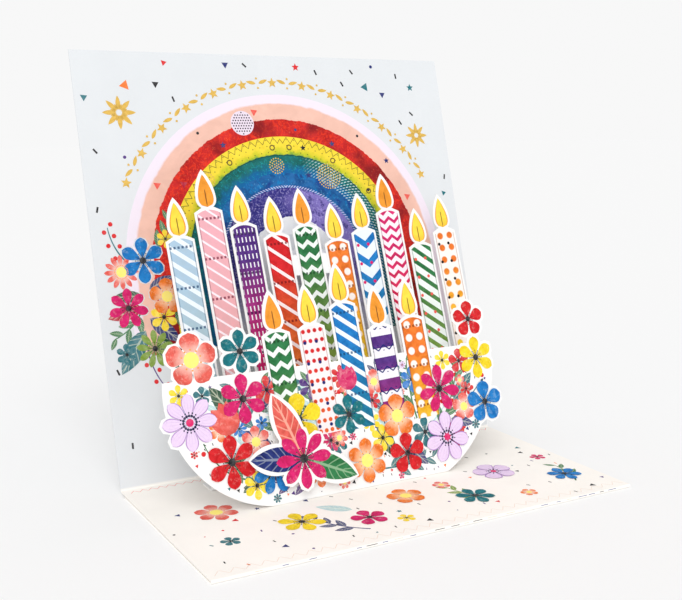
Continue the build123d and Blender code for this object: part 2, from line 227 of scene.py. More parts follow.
# Small blossoms of the base and of the back panel, under the large ones in the print
BASE_SMALL = (
    (-60, -56, 3.2, 5, "teal"), (-36, -33, 3.6, 6, "red"), (-6, -66, 3.0, 5, "yellow"),
    (20, -47, 3.2, 5, "coral"), (41, -67, 3.0, 5, "orange"), (67, -40, 3.0, 5, "pink"),
)
PANEL_SMALL = (
    (-57.5, 45.5, 6.6, 9, "olive"), (-66, 72.5, 6.0, 12, "coral"), (-53.0, 56.0, 5.0, 6, "yellow"),
    (-67.5, 44.5, 3.8, 6, "teal"), (-49.0, 83.0, 3.4, 6, "yellow"),
)

# Stems: foot, tip, bow, leaves and ink
BANK_STEMS = (
    ((-38, 14), (-54, 39), 3.0, 9, "mist"), ((-30, 16), (-38, 37), -2.0, 9, "mist"),
    ((20, 14), (42, 37), -2.5, 9, "mist"), ((-58, 28), (-65, 37), 1.0, 4, "mist"),
    ((-16, 14), (-20, 37), 1.0, 8, "mist"), ((8, 14), (6, 37), 1.0, 8, "mist"),
    ((-42, 9), (-58, 23), 3.0, 6, "green"), ((-40, 12), (-47, 40), -2.5, 7, "teal"),
    ((-30, 20), (-36, 40), 2.0, 6, "green"), ((-18, 22), (-19, 41), 0.8, 6, "green"),
    ((-6, 20), (-7, 41), 0.5, 6, "olive"), ((7, 20), (6, 41), -0.5, 6, "navy"),
    ((20, 20), (19, 41), 0.8, 6, "green"), ((24, 12), (40, 40), -3.0, 8, "green"),
    ((34, 10), (50, 30), 2.0, 7, "teal"), ((-20, 6.5), (-40, 8.5), 1.0, 6, "violet"),
    ((2, 5.5), (25, 6.5), -0.8, 7, "teal"), ((-53, 17), (-43, 9), 1.0, 5, "green"),
    ((28, 7), (38, 13), 1.0, 5, "green"),
)

# Large leaves behind the blossoms: face, foot, tip and ink
LARGE_LEAVES = (
    ("bank", (-45, 28), (-54, 40), "forest"), ("bank", (-38, 30), (-33, 41), "navy"),
    ("bank", (-35, 18), (-46, 25), "navy"), ("bank", (-36, 12), (-47, 6), "forest"),
    ("bank", (-20, 30), (-12, 40), "forest"), ("bank", (14, 24), (8, 34), "navy"),
    ("bank", (14, 12), (22, 4), "navy"), ("bank", (26, 24), (24, 39), "forest"),
    ("bank", (36, 24), (45, 33), "teal"), ("bank", (34, 18), (43, 15), "navy"),
    ("bank", (4, 20), (10, 8), "forest"), ("panel", (-60, 60), (-72.5, 57), "crimson"),
    ("panel", (-58, 56), (-48, 47), "navy"), ("panel", (-60, 52), (-70, 38), "teal"),
    ("panel", (-56, 50), (-49, 36), "forest"), ("panel", (-57, 66), (-48, 70), "navy"),
    ("panel", (-60, 64), (-70, 64), "forest"), ("base", (-17, -52), (-26, -44), "mist"),
)

# Blossoms that close the corners of the bank, over its gaps
BANK_CORNERS = (
    (-64.0, 38.6, 3.4, 6, "yellow"), (-56.5, 37.6, 3.0, 5, "teal"), (40.5, 37.6, 4.4, 5, "red"),
    (33.6, 38.6, 3.4, 6, "yellow"), (-34.6, 36.8, 4.6, 6, "red"), (-52.0, 26.5, 4.0, 6, "orange"),
    (-40.5, 21.0, 5.2, 6, "coral"), (-42.0, 7.5, 4.6, 6, "yellow"), (-19.5, 8.0, 5.0, 6, "orange"),
    (5.5, 15.5, 4.6, 6, "yellow"), (22.5, 15.0, 5.4, 6, "teal"), (20.0, 33.5, 4.6, 6, "blue"),
    (40.0, 21.5, 5.0, 5, "coral"), (-19.0, 36.0, 4.4, 6, "violet"), (5.0, 34.5, 4.4, 5, "coral"),
)
# Blossoms that fill the bank's gaps: seed, pitch, least and most radius, and overlap
BANK_FILLINGS = ((31, 6.0, 2.0, 4.0, 1.2), (17, 4.2, 1.2, 2.2, 0.4))
BASE_STEMS = (
    ((-20, -68), (-32, -50), 2.0, 7, "navy"), ((28, -64), (20, -50), 1.5, 5, "olive"),
    ((62, -66), (66, -50), -1.5, 5, "green"),
)
PANEL_STEMS = (
    ((-62, 74), (-69, 88), 1.5, 6, "teal"), ((-60, 60), (-71, 50), 1.5, 5, "green"),
    ((-52, 62), (-44, 50), 1.5, 6, "green"), ((-54, 78), (-47, 90), -1.0, 5, "green"),
    ((-60, 50), (-56, 33), -1.5, 5, "violet"),
)

# Tulips: foot, tip and ink
TULIPS = (
    ((-47, 25), (-53, 34), "coral"), ((31, 9), (38, 15.5), "red"), ((-4, 33), (-6, 41), "pink"),
)

# Fields of confetti: seed, pitch, near and far corner, and size of the marks
CONFETTI_FIELDS = {
    "panel": (11, 10.0, (LEFT_EDGE + 6.0, 6.0), (RIGHT_EDGE - 2.0, 148.0), 1.35),
    "base": (23, 10.0, (LEFT_EDGE + 6.0, -70.0), (RIGHT_EDGE - 3.0, -20.0), 0.9),
    "bank": (5, 3.1, *BANK_FIELD, 0.55),
}
CONFETTI_INKS = ("black", "black", "navy", "red", "orange", "teal", "violet")

# Bare card round the arch, over its centre and beside its legs, and the ends of the print on the panel
ARCH_CLEAR_OVER, ARCH_CLEAR_BESIDE = 72.5, 67.0
PRINT_TOP = 147.0
PRINT_MARGIN = 3.0

# Stems: half width, reach of their leaves and berries, leaf's half width by its length, berry's radius
STEM_HALF = 0.3
LEAF_REACH, BERRY_REACH = 7.0, 3.4
LEAF_SHARE = 0.2
TULIP_SHARE = 0.27
BERRY_RADIUS = 0.8

# Rows of stitches on the base: place along its depth, step, length and ink of the strokes
STITCH_ROWS = ((-2.6, 1.5, 2.4, "coral"), (-74.2, 2.3, 3.3, "stitch"))
THREAD_WIDTH = 0.2

# Front fold: lean of its printed face in degrees, and how far the print stands proud of it
FOLD_LEAN = 28.0
FOLD_PROUD = 0.005
# Its marks: seed, step, sway, share left out, and least and most length
FOLD_MARKS = (7, 4.6, 1.2, 0.35, 1.4, 3.8)


def colour(name, default, words):
    """A colour property, written as it shows on a screen."""
    return bpy.props.FloatVectorProperty(
        name=name,
        description=words,
        default=default,
        subtype="COLOR_GAMMA",
        size=3,
        min=0.0,
        max=1.0,
    )


def length(name, default, words):
    """A length property in metres, its default given in millimetres."""
    return bpy.props.FloatProperty(
        name=name,
        description=words,
        default=default * MM,
        subtype="DISTANCE",
        unit="LENGTH",
        precision=5,
    )


class CardSizes(bpy.types.PropertyGroup):
    """Where the printed faces stand, and how big the printed motifs are."""

    lean: bpy.props.FloatProperty(
        name="Lean",
        description="How far the back panel and the layers lean back",
        default=math.radians(15.7),
        subtype="ANGLE",
        unit="ROTATION",
    )
    row_depth: length("Candle row depth", 15.0, "From the hinge to the tall candles along the base")
    bank_depth: length("Bank depth", 37.5, "From the hinge to the flower bank along the base")
    bouquet_gap: length("Bouquet gap", 2.8, "From the bank's face to the bouquet's face")
    ink: length("Ink", 0.07, "How far the first ink stands proud of the card")
    overprint: length("Overprint", 0.008, "How far each later ink stands over the one before")
    candle_width: length("Candle width", 8.6, "Width of a printed candle")
    candle_dome: length("Candle dome", 1.4, "Rise of a candle's rounded top")
    candle_tilt: bpy.props.FloatProperty(
        name="Candle tilt",
        description="How far each candle tips to the left",
        default=math.radians(3.0),
        subtype="ANGLE",
        unit="ROTATION",
    )
    flame_width: length("Flame width", 5.6, "Width of a printed flame")
    flame_height: length("Flame height", 11.3, "Height of a printed flame")
    wick: length("Wick", 1.0, "Gap from a candle's top to its flame")
    arch_rise: length("Arch rise", 71.0, "Height of the arch's centre up the back panel")
    arch_core: length("Arch core", 11.0, "Radius of the bare core of the arch")


class CardColours(bpy.types.PropertyGroup):
    """Colours of the card stock, the inks and the floor."""

    # Back panel and base are one sheet: the panel's cool white is painted darker than the base, as painted
    # shade of the upright face.
    panel: colour("Back panel", (0.868, 0.88, 0.89), "Cool white of the back panel")
    base: colour("Base", (0.998, 0.98, 0.955), "Cream of the base")
    layer: colour("Layers", (0.955, 0.953, 0.948), "White of the die-cut layers")
    strut: colour("Struts", (0.955, 0.96, 0.965), "White of the struts")
    floor: colour("Backdrop", (0.972, 0.972, 0.972), "Pale backdrop")
    ground: colour("Floor", (0.965, 0.965, 0.965), "Pale floor")
    gold: colour("Foil", (0.90, 0.73, 0.34), "Gold foil of the stars")
    arch_halo: colour("Arch halo", (0.93, 0.90, 0.955), "Pale lilac line outside the arch")
    arch_peach: colour("Arch peach", (0.94, 0.75, 0.68), "Outer band of the arch")
    arch_red: colour("Arch red", (0.78, 0.05, 0.05), "Red band of the arch")
    arch_yellow: colour("Arch yellow", (0.97, 0.86, 0.22), "Yellow band of the arch")
    arch_green: colour("Arch green", (0.0, 0.38, 0.36), "Teal band of the arch")
    arch_blue: colour("Arch blue", (0.0, 0.33, 0.62), "Blue band of the arch")
    arch_violet: colour("Arch violet", (0.16, 0.14, 0.50), "Inner band of the arch")
    blue: colour("Blue", (0.03, 0.46, 0.78), "Blue ink")
    pink: colour("Pink", (0.85, 0.05, 0.39), "Pink ink")
    violet: colour("Violet", (0.29, 0.12, 0.48), "Violet ink")
    red: colour("Red", (0.84, 0.05, 0.08), "Red ink")
    green: colour("Green", (0.11, 0.44, 0.22), "Green ink")
    olive: colour("Olive", (0.50, 0.62, 0.20), "Olive ink")
    orange: colour("Orange", (0.95, 0.45, 0.10), "Orange ink")
    yellow: colour("Yellow", (1.0, 0.87, 0.10), "Yellow ink")
    teal: colour("Teal", (0.0, 0.42, 0.46), "Teal ink")
    coral: colour("Coral", (0.91, 0.34, 0.29), "Coral ink")
    forest: colour("Forest", (0.05, 0.29, 0.16), "Dark green of the large leaves")
    crimson: colour("Crimson", (0.70, 0.02, 0.18), "Crimson ink")
    stitch: colour("Stitches", (0.93, 0.83, 0.76), "Thin line of the stitches")
    lilac: colour("Lilac", (0.84, 0.70, 0.88), "Lilac ink")
    navy: colour("Navy", (0.05, 0.12, 0.42), "Navy ink")
    mist: colour("Mist", (0.74, 0.87, 0.88), "Pale ink of the leaves behind")
    black: colour("Black", (0.04, 0.04, 0.07), "Black ink of the small marks")
    flame: colour("Flame", (1.0, 0.86, 0.26), "Yellow of the flames")
    glow: colour("Glow", (0.96, 0.60, 0.16), "Orange at the foot of the flames")


def linear(shade):
    """Screen colour as linear light with full cover: (c + 0.055) / 1.055 to the power 2.4."""
    return tuple(((part + 0.055) / 1.055) ** 2.4 for part in shade) + (1.0,)


def blended(first, second, share):
    """Colour that lies the given share of the way from the first to the second."""
    return tuple(a + (b - a) * share for a, b in zip(first, second))


class Face:
    """A flat printed face: x runs right and height runs up the face, both in millimetres."""

    def __init__(self, depth, lean, proud=0.0):
        self.right = np.array((1.0, 0.0, 0.0))
        self.up = np.array((0.0, math.sin(lean), math.cos(lean)))
        self.normal = np.cross(self.right, self.up)
        self.origin = np.array((0.0, -COVER_FRONT - depth, BASE_TOP)) + proud * self.normal

    def lay(self, x, height, lift):
        """Points in metres: origin + x right + height up + lift along the normal."""
        x, height, lift = np.broadcast_arrays(x, height, lift)
        flat = x[..., None] * MM * self.right + height[..., None] * MM * self.up
        return self.origin + flat + lift[..., None] * self.normal


def settings(context):
    """Sizes, colours, and the five printed faces by name."""
    sizes = context.scene.card_sizes
    faces = {
        "panel": Face(0.0, sizes.lean),
        "row": Face(sizes.row_depth, sizes.lean),
        "bank": Face(sizes.bank_depth, sizes.lean),
        "bouquet": Face(sizes.bank_depth, sizes.lean, sizes.bouquet_gap),
        "base": Face(0.0, math.pi / 2),
    }
    return sizes, context.scene.card_colours, faces


def fold_face():
    """Face on the rounded front edge of the base: centre of the round + its radius along the normal."""
    face = Face(0.0, math.radians(FOLD_LEAN))
    radius = BASE_TOP / 2
    middle = np.array((0.0, COVER_FRONT + radius, radius))
    face.origin = middle + (radius + FOLD_PROUD * MM) * face.normal
    return face


def mesh_object(name, points, loops, totals, uv=None, tone=None, inks=None):
    """An object from points, the corners of its faces, each face's corner count and its attributes."""
    mesh = bpy.data.meshes.new(name)
    mesh.vertices.add(len(points))
    mesh.vertices.foreach_set("co", points.astype(np.float32).ravel())
    mesh.loops.add(len(loops))
    mesh.loops.foreach_set("vertex_index", loops.astype(np.int32))
    mesh.polygons.add(len(totals))
    starts = np.concatenate(((0,), np.cumsum(totals)[:-1]))
    mesh.polygons.foreach_set("loop_start", starts.astype(np.int32))
    mesh.polygons.foreach_set("loop_total", totals.astype(np.int32))
    if uv is not None:
        layer = mesh.uv_layers.new(name="Print")
        layer.data.foreach_set("uv", uv[loops].astype(np.float32).ravel())
    for title, kind, key, values in (("Tone", "FLOAT", "value", tone), ("Ink", "FLOAT_COLOR", "color", inks)):
        if values is not None:
            held = mesh.attributes.new(title, kind, "POINT")
            held.data.foreach_set(key, values.astype(np.float32).ravel())
    mesh.update(calc_edges=True)
    mesh.validate()
    made = bpy.data.objects.new(name, mesh)
    bpy.context.scene.collection.objects.link(made)
    return made


def patches(name, sheets, tone=0.0, inks=None):
    """Sheets of items by rows by columns with their print maps: each cell is one face, turned to the viewer.

    The points that meet at the tips are merged, and the faces that have no area dropped.
    """
    points, uv = (np.concatenate(parts) for parts in zip(*sheets))
    items, rows, columns = points.shape[:3]
    index = np.arange(items * rows * columns).reshape(items, rows, columns)
    corners = (index[:, :-1, :-1], index[:, :-1, 1:], index[:, 1:, 1:], index[:, 1:, :-1])
    loops = np.stack(corners, axis=-1).reshape(-1)
    totals = np.full(len(loops) // 4, 4)
    tones = np.repeat(np.broadcast_to(tone, items), rows * columns)
    if inks is not None:
        inks = np.repeat(inks, rows * columns, axis=0)
    made = mesh_object(name, points.reshape(-1, 3), loops, totals, uv.reshape(-1, 2), tones, inks)
    work = bmesh.new()
    work.from_mesh(made.data)
    bmesh.ops.remove_doubles(work, verts=work.verts, dist=1e-6)
    work.to_mesh(made.data)
    work.free()
    return made


def flat_chips(name, groups):
    """One face for each chip: each group has its chips by corners, and one ink or the ink of each chip."""
    points = np.concatenate([chips.reshape(-1, 3) for chips, _ in groups])
    totals = np.concatenate([np.full(len(chips), chips.shape[1]) for chips, _ in groups])
    inks = [np.repeat(np.broadcast_to(ink, (len(chips), 4)), chips.shape[1], axis=0) for chips, ink in groups]
    return mesh_object(name, points, np.arange(len(points)), totals, inks=np.concatenate(inks))


def dress(made, material, *nodes):
    """Gives a piece its finish, lets it ride on the card and stand for its nodes."""
    made.data.materials.append(material)
    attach(made, BODY)
    if nodes:
        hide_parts(*nodes)


def dress_node(node, material):
    """Puts a finish on a node of the model."""
    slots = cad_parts[node].data.materials
    slots.clear()
    slots.append(material)


def ring_turns(count):
    """Equal turns round a circle."""
    return np.arange(count) * 2 * math.pi / count


def ring_places(x, height, reach, turns):
    """Places round a centre: each turn is measured from straight up, to the right."""
    return np.stack((x + reach * np.sin(turns), height + reach * np.cos(turns)), axis=-1)


def rounds(face, places, radius, corners, lift, turn=0.0):
    """Round or many-sided chips: corners at equal turns about each centre."""
    angle = turn + ring_turns(corners)
    radius = np.asarray(radius, float)[..., None]
    return face.lay(places[:, :1] + radius * np.cos(angle), places[:, 1:] + radius * np.sin(angle), lift)


def small_stars(face, places, radius, lift):
    """Five-pointed stars: corners in turn at the radius and at 0.45 of it."""
    angle = math.pi / 2 + np.arange(10) * math.pi / 5
    reach = np.where(np.arange(10) % 2 == 0, radius, 0.45 * radius)
    return face.lay(places[:, :1] + reach * np.cos(angle), places[:, 1:] + reach * np.sin(angle), lift)


def dashes(face, places, long, wide, turn, lift):
    """Short straight strokes: each has its own turn."""
    corners = np.array(((-0.5, -0.5), (0.5, -0.5), (0.5, 0.5), (-0.5, 0.5)))
    u, v = corners[:, 0] * long, corners[:, 1] * wide
    cos, sin = np.cos(turn)[:, None], np.sin(turn)[:, None]
    return face.lay(places[:, :1] + u * cos - v * sin, places[:, 1:] + u * sin + v * cos, lift)


class Finish:
    """Node tree of one finish. Each method adds nodes and returns their output."""

    def __init__(self, name, roughness=0.72):
        self.material = bpy.data.materials.new(name)
        self.material.use_nodes = True
        self.tree = self.material.node_tree
        self.shader = self.tree.nodes["Principled BSDF"]
        self.shader.inputs["Roughness"].default_value = roughness
        self.shader.inputs["Specular IOR Level"].default_value = 0.25
        coordinates = self.tree.nodes.new("ShaderNodeTexCoord")
        self.place = coordinates.outputs["Object"]
        self.print_uv = coordinates.outputs["UV"]

    def feed(self, socket, value):
        """Links an output to a socket, or writes a value there."""
        if isinstance(value, bpy.types.NodeSocket):
            self.tree.links.new(value, socket)
        else:
            socket.default_value = value

    def add(self, kind, feeds, result=0, **choices):
        """Adds a node with its choices, and feeds its inputs with outputs or values."""
        node = self.tree.nodes.new(kind)
        for name, value in choices.items():
            setattr(node, name, value)
        for key, value in feeds.items():
            self.feed(node.inputs[key], value)
        return node.outputs[result]

    def math(self, operation, *values):
        """One step of arithmetic."""
        return self.add("ShaderNodeMath", dict(enumerate(values)), operation=operation)

    def times(self, first, second):
        """Product of two values."""
        return self.math("MULTIPLY", first, second)

    def less(self, first, second):
        """What is left of the first value without the second."""
        return self.math("SUBTRACT", first, second)

    def more(self, value, other, share=None):
        """A value and another, or a share of the other."""
        return self.math("ADD", value, other if share is None else self.times(other, share))

    def size_of(self, value):
        """Value without its sign."""
        return self.math("ABSOLUTE", value)

    def hypot(self, x, y):
        """Root of x squared + y squared."""
        return self.math("SQRT", self.more(self.times(x, x), self.times(y, y)))

    def mix(self, share, first, second):
        """Colour between the first and the second."""
        return self.add("ShaderNodeMix", {0: share, 6: first, 7: second}, 2, data_type="RGBA")

    def noise(self, size_mm, detail=2.0, rough=0.5, warp=0.0):
        """Cloudy value round 0.5 whose lumps are about that size."""
        feeds = {"Scale": 1.0 / (size_mm * MM), "Detail": detail, "Roughness": rough, "Distortion": warp}
        return self.add("ShaderNodeTexNoise", {**feeds, "Vector": self.place}, "Fac")

    def band(self, value, low, high, out_low=0.0, out_high=1.0):
        """Value carried from one range to another and held within it."""
        feeds = {"Value": value, "From Min": low, "From Max": high, "To Min": out_low, "To Max": out_high}
        return self.add("ShaderNodeMapRange", feeds, clamp=True)

    def attribute(self, name, result):
        """Attribute of the mesh."""
        return self.add("ShaderNodeAttribute", {}, result, attribute_name=name)

    def uv_parts(self):
        """Across and along of the piece's own print map."""
        parts = self.tree.nodes.new("ShaderNodeSeparateXYZ")
        self.feed(parts.inputs[0], self.print_uv)
        return parts.outputs[0], parts.outputs[1]

    def stripes(self, value, period, share):
        """1 for that share of each period, 0 for the rest."""
        return self.math("LESS_THAN", self.math("FRACT", self.math("DIVIDE", value, period)), share)

    def wave(self, value, period):
        """Goes 0 to 1 and back to 0 in straight lines over each period."""
        return self.math("PINGPONG", self.math("DIVIDE", value, period / 2), 1.0)

    def line(self, value, centre, half):
        """1 within half a width of the centre, with a thin soft edge."""
        return self.band(self.size_of(self.less(value, centre)), half * 0.8, half * 1.2, 1.0, 0.0)

    def dots(self, across, along, pitch_across, pitch_along, radius):
        """1 within a round dot in each cell of a lattice."""
        parts = []
        for value, pitch in ((across, pitch_across), (along, pitch_along)):
            share = self.less(self.math("FRACT", self.math("DIVIDE", value, pitch)), 0.5)
            parts.append(self.times(share, pitch))
        return self.band(self.hypot(*parts), radius * 0.85, radius * 1.15, 1.0, 0.0)

    def toward(self, shade, other, share):
        """An ink carried a share of the way to a plain colour: an output, or a colour as it shows."""
        if isinstance(shade, bpy.types.NodeSocket):
            return self.mix(share, shade, linear(other))
        return linear(blended(shade, other, share))

    def wash(self, shade, depth=0.16, size_mm=5.0):
        """Watercolour wash of one ink: pools and thin places, with the paper's grain in it."""
        pools = self.noise(size_mm, 4.0, 0.6, warp=0.6)
        light = self.toward(shade, WHITE, depth * 0.7)
        toned = self.mix(self.band(pools, 0.34, 0.66), self.toward(shade, DARK, depth), light)
        grain = self.band(self.noise(0.45, 2.0), 0.35, 0.7, 0.0, depth)
        return self.mix(grain, toned, light)

    def over(self, share, under, shade, most=None):
        """An ink over what is there, by a share at most: an output, linear light, or a colour as it shows."""
        plain = isinstance(shade, bpy.types.NodeSocket) or len(shade) == 4
        share = share if most is None else self.times(share, most)
        return self.mix(share, under, shade if plain else linear(shade))

    def blot(self, under, shade, size_mm, low, high, share, detail=4.0, rough=0.7, warp=0.0):
        """An ink where clouds of that size go from the low to the high value, by that share at most."""
        clouds = self.noise(size_mm, detail, rough, warp)
        return self.over(self.band(clouds, low, high, 0.0, share), under, shade)

    def finish(self, shade, tooth=0.04):
        """Puts the colour on the shader with the fine tooth of uncoated card."""
        self.feed(self.shader.inputs["Base Color"], shade)
        grain = self.noise(0.22, 3.0, 0.6)
        bump = self.add("ShaderNodeBump", {"Height": grain, "Strength": tooth * 5, "Distance": tooth * MM})
        self.feed(self.shader.inputs["Normal"], bump)
        return self.material


def card_stock(name, shade, second=None):
    """Uncoated card: faint clouds and fibres; the second colour lies on the level faces and the first on the
    upright faces, which on the cover are the same card painted darker as shade.
    """
    finish = Finish(name, 0.8)
    clouds = finish.band(finish.noise(14.0, 3.0), 0.3, 0.7)
    tone = finish.mix(clouds, linear(blended(shade, DARK, 0.012)), linear(shade))
    if second is not None:
        # Level faces take the second colour; the upright faces keep the first, which on the cover is painted
        # shade: the same card, darker.
        level = finish.mix(clouds, linear(blended(second, DARK, 0.015)), linear(second))
        height = finish.add("ShaderNodeSeparateXYZ", {0: finish.place}, 2)
        tone = finish.mix(finish.band(height, BASE_TOP + 0.1 * MM, BASE_TOP + 1.0 * MM), level, tone)
    return finish.finish(finish.blot(tone, blended(shade, DARK, 0.05), 0.35, 0.62, 0.75, 0.25), 0.05)


class CARD_OT_stage(bpy.types.Operator):
    """Floor, backdrop, soft light and the camera"""

    bl_idname = "card.stage"
    bl_label = "Stage"

    def execute(self, context):
        scene = context.scene
        shades = scene.card_colours
        scene.view_settings.view_transform = "Standard"
        world = bpy.data.worlds.new("Soft light")
        scene.world = world
        world.use_nodes = True
        tree = world.node_tree
        backdrop = tree.nodes["Background"]
        backdrop.inputs["Color"].default_value = linear(shades.floor)
        light = tree.nodes.new("ShaderNodeBackground")
        light.inputs["Color"].default_value = linear(WHITE)
        light.inputs["Strength"].default_value = SKY
        seen = tree.nodes.new("ShaderNodeLightPath")
        either = tree.nodes.new("ShaderNodeMath")
        either.operation = "MAXIMUM"
        tree.links.new(seen.outputs["Is Camera Ray"], either.inputs[0])
        tree.links.new(seen.outputs["Is Glossy Ray"], either.inputs[1])
        choice = tree.nodes.new("ShaderNodeMixShader")
        tree.links.new(either.outputs[0], choice.inputs[0])
        tree.links.new(light.outputs[0], choice.inputs[1])
        tree.links.new(backdrop.outputs[0], choice.inputs[2])
        tree.links.new(choice.outputs[0], tree.nodes["World Output"].inputs[0])

        corners = np.array(((-1.0, -1.0, 0.0), (1.0, -1.0, 0.0), (1.0, 1.0, 0.0), (-1.0, 1.0, 0.0)))
        corners = corners * FLOOR_REACH + (0.0, 0.0, float(cad_bounds[0][2]))
        floor = mesh_object("floor", corners, np.arange(4), np.array((4,)))
        plain = Finish("Floor", 0.9)
        plain.shader.inputs["Specular IOR Level"].default_value = 0.0
        plain.shader.inputs["Base Color"].default_value = linear(shades.ground)
        floor.data.materials.append(plain.material)

        for name, energy, spread_deg, way in LAMPS:
            sun = bpy.data.lights.new(name, "SUN")
            sun.energy = energy
            sun.angle = math.radians(spread_deg)
            lamp = bpy.data.objects.new(name, sun)
            lamp.rotation_euler = Vector(way).to_track_quat("-Z", "Y").to_euler()
            scene.collection.objects.link(lamp)

        lens = bpy.data.cameras.new("Camera")
        lens.sensor_width = 36.0
        lens.lens = CAMERA_LENS
        lens.clip_start = 0.01
        camera = bpy.data.objects.new("Camera", lens)
        turn = Vector(CAMERA_WAY).to_track_quat("-Z", "Y").to_matrix()
        roll = Matrix.Rotation(math.radians(CAMERA_ROLL), 3, "Z")
        camera.matrix_world = Matrix.Translation(CAMERA_PLACE) @ (turn @ roll).to_4x4()
        scene.collection.objects.link(camera)
        scene.camera = camera
        return {"FINISHED"}


class CARD_OT_stock(bpy.types.Operator):
    """Card of the cover, the layers and the struts"""

    bl_idname = "card.stock"
    bl_label = "Card stock"

    def execute(self, context):
        shades = context.scene.card_colours
        # The panel's colour is the base's card painted darker, as painted shade of the upright face.
        dress_node("card_cover", card_stock("Cover card", shades.panel, shades.base))
        layers = card_stock("Layer card", shades.layer)
        struts = card_stock("Strut card", shades.strut)
        for node in ("candle_row", "flower_bank", "bouquet"):
            dress_node(node, layers)
        for node in ("upper_strut", "left_strut", "right_strut", "bouquet_pads"):
            dress_node(node, struts)
        return {"FINISHED"}


def arch_spot(finish, sizes):
    """Place on the arch in millimetres: reach from its centre line, x, height over its centre, and turn."""
    face = Face(0.0, sizes.lean)
    centre = tuple(face.lay(0.0, sizes.arch_rise / MM, 0.0))
    kind = "ShaderNodeVectorMath"
    away = finish.add(kind, {0: finish.place, 1: centre}, operation="SUBTRACT")
    scaled = finish.add(kind, {0: away, "Scale": 1.0 / MM}, operation="SCALE")
    x = finish.add("ShaderNodeSeparateXYZ", {0: scaled})
    height = finish.add(kind, {0: scaled, 1: tuple(face.up)}, "Value", operation="DOT_PRODUCT")
    above = finish.math("MAXIMUM", height, 0.0)
    return finish.hypot(x, above), x, height, finish.math("ARCTAN2", above, finish.size_of(x))


def arch_paint(finish, tint, spot, shades):
    """Paint of one band of the arch with its ornament.

    Across runs 0 to 1 over the paint; along runs up the leg and round the arch, the same on both sides.
    """
    reach, x, height, turn = spot
    inner, outer = ARCH_PAINT[tint]
    # The bare core is painted lighter than the panel's card: painted light against the candle row's shade.
    if tint == "bare":
        return finish.wash(ARCH_BARE_PAINTED_LIGHT, 0.01, 9.0)
    width = outer - inner
    across_mm = finish.less(reach, inner)
    across = finish.math("DIVIDE", across_mm, width)
    along = finish.more(finish.times(turn, (inner + outer) / 2), finish.math("MINIMUM", height, 0.0))
    depth, size = ARCH_WASH[tint]
    tone = finish.wash(getattr(shades, f"arch_{tint}"), depth, size)

    if tint == "peach":
        edge = finish.more(across, finish.noise(5.0), 0.16)
        return finish.over(finish.band(edge, 0.68, 0.76, 0.0, 0.9), tone, shades.arch_halo)
    if tint == "red":
        tone = finish.blot(tone, (0.93, 0.22, 0.10), 1.8, 0.46, 0.6, 0.75, warp=1.2)
        tone = finish.blot(tone, (0.42, 0.02, 0.07), 15.0, 0.53, 0.62, 0.75, 1.0, 0.5)
        return finish.blot(tone, (0.98, 0.55, 0.40), 0.8, 0.6, 0.7, 0.4, warp=0.8)
    if tint == "yellow":
        cloud = finish.more(across, finish.noise(3.0, 3.0), 0.7)
        tone = finish.over(finish.band(cloud, 0.78, 0.42, 0.0, 0.8), tone, (0.70, 0.76, 0.12))
        tone = finish.over(finish.band(cloud, 0.46, 0.26, 0.0, 0.8), tone, (0.26, 0.58, 0.25))
        peak = finish.band(finish.wave(along, 3.0), 0.0, 1.0, 0.62, 0.96)
        tone = finish.over(finish.line(finish.less(across, peak), 0.0, 0.03), tone, ARCH_THREAD, 0.85)
        tone = finish.over(finish.dots(across_mm, along, width / 3, 3.0, 0.22), tone, ARCH_THREAD, 0.75)
        ring, hole = (finish.dots(across_mm, along, width * 0.8, 19.0, radius) for radius in (1.1, 0.7))
        return finish.over(finish.less(ring, hole), tone, (0.20, 0.16, 0.16))
    if tint == "green":
        cloud = finish.more(across, finish.noise(3.0, 4.0, 0.7), 1.1)
        tone = finish.over(finish.band(cloud, 1.2, 0.65, 0.0, 0.95), tone, (0.0, 0.38, 0.62))
        tone = finish.blot(tone, (0.10, 0.66, 0.70), 1.3, 0.54, 0.64, 0.6, rough=0.75, warp=1.0)
        tone = finish.over(finish.line(across, 0.97, 0.05), tone, (0.0, 0.30, 0.26), 0.8)
        nicks = finish.stripes(finish.more(along, across_mm, 0.8), 1.3, 0.34)
        nicks = finish.times(nicks, finish.stripes(across_mm, 1.15, 0.62))
        nicks = finish.times(nicks, finish.band(x, 8.0, 16.0, 0.0, 0.75))
        return finish.over(nicks, tone, (0.86, 0.95, 0.95))
    if tint == "blue":
        tone = finish.blot(tone, (0.0, 0.50, 0.76), 2.6, 0.5, 0.62, 0.75, warp=0.8)
        tone = finish.blot(tone, (0.04, 0.14, 0.48), 5.0, 0.5, 0.62, 0.7, 3.0, 0.5)
        tone = finish.blot(tone, (0.40, 0.70, 0.86), 0.9, 0.6, 0.68, 0.45, 3.0)
        slants = finish.stripes(finish.more(along, across_mm), 1.2, 0.45)
        stitches = finish.times(finish.line(across_mm, 0.5, 0.42), slants)
        return finish.over(stitches, tone, (0.80, 0.80, 0.95), 0.85)
    cloud = finish.more(finish.times(x, 0.05), finish.noise(5.0, 3.0), 1.2)
    tone = finish.over(finish.band(cloud, 0.5, 1.15, 0.0, 0.85), tone, (0.54, 0.48, 0.78))
    tone = finish.blot(tone, (0.72, 0.68, 0.90), 0.7, 0.52, 0.62, 0.5, 3.0)
    blots = finish.band(finish.noise(2.2, 3.0, 0.7), 0.53, 0.6, 0.0, 0.7)
    tone = finish.over(finish.times(blots, finish.band(x, 2.0, 9.0)), tone, (0.12, 0.10, 0.42))
    # Down the legs the violet fades into the bare core's white, which is painted lighter as painted light.
    return finish.over(finish.band(height, -24.0, -6.0, 0.75, 0.0), tone, ARCH_BARE_PAINTED_LIGHT)


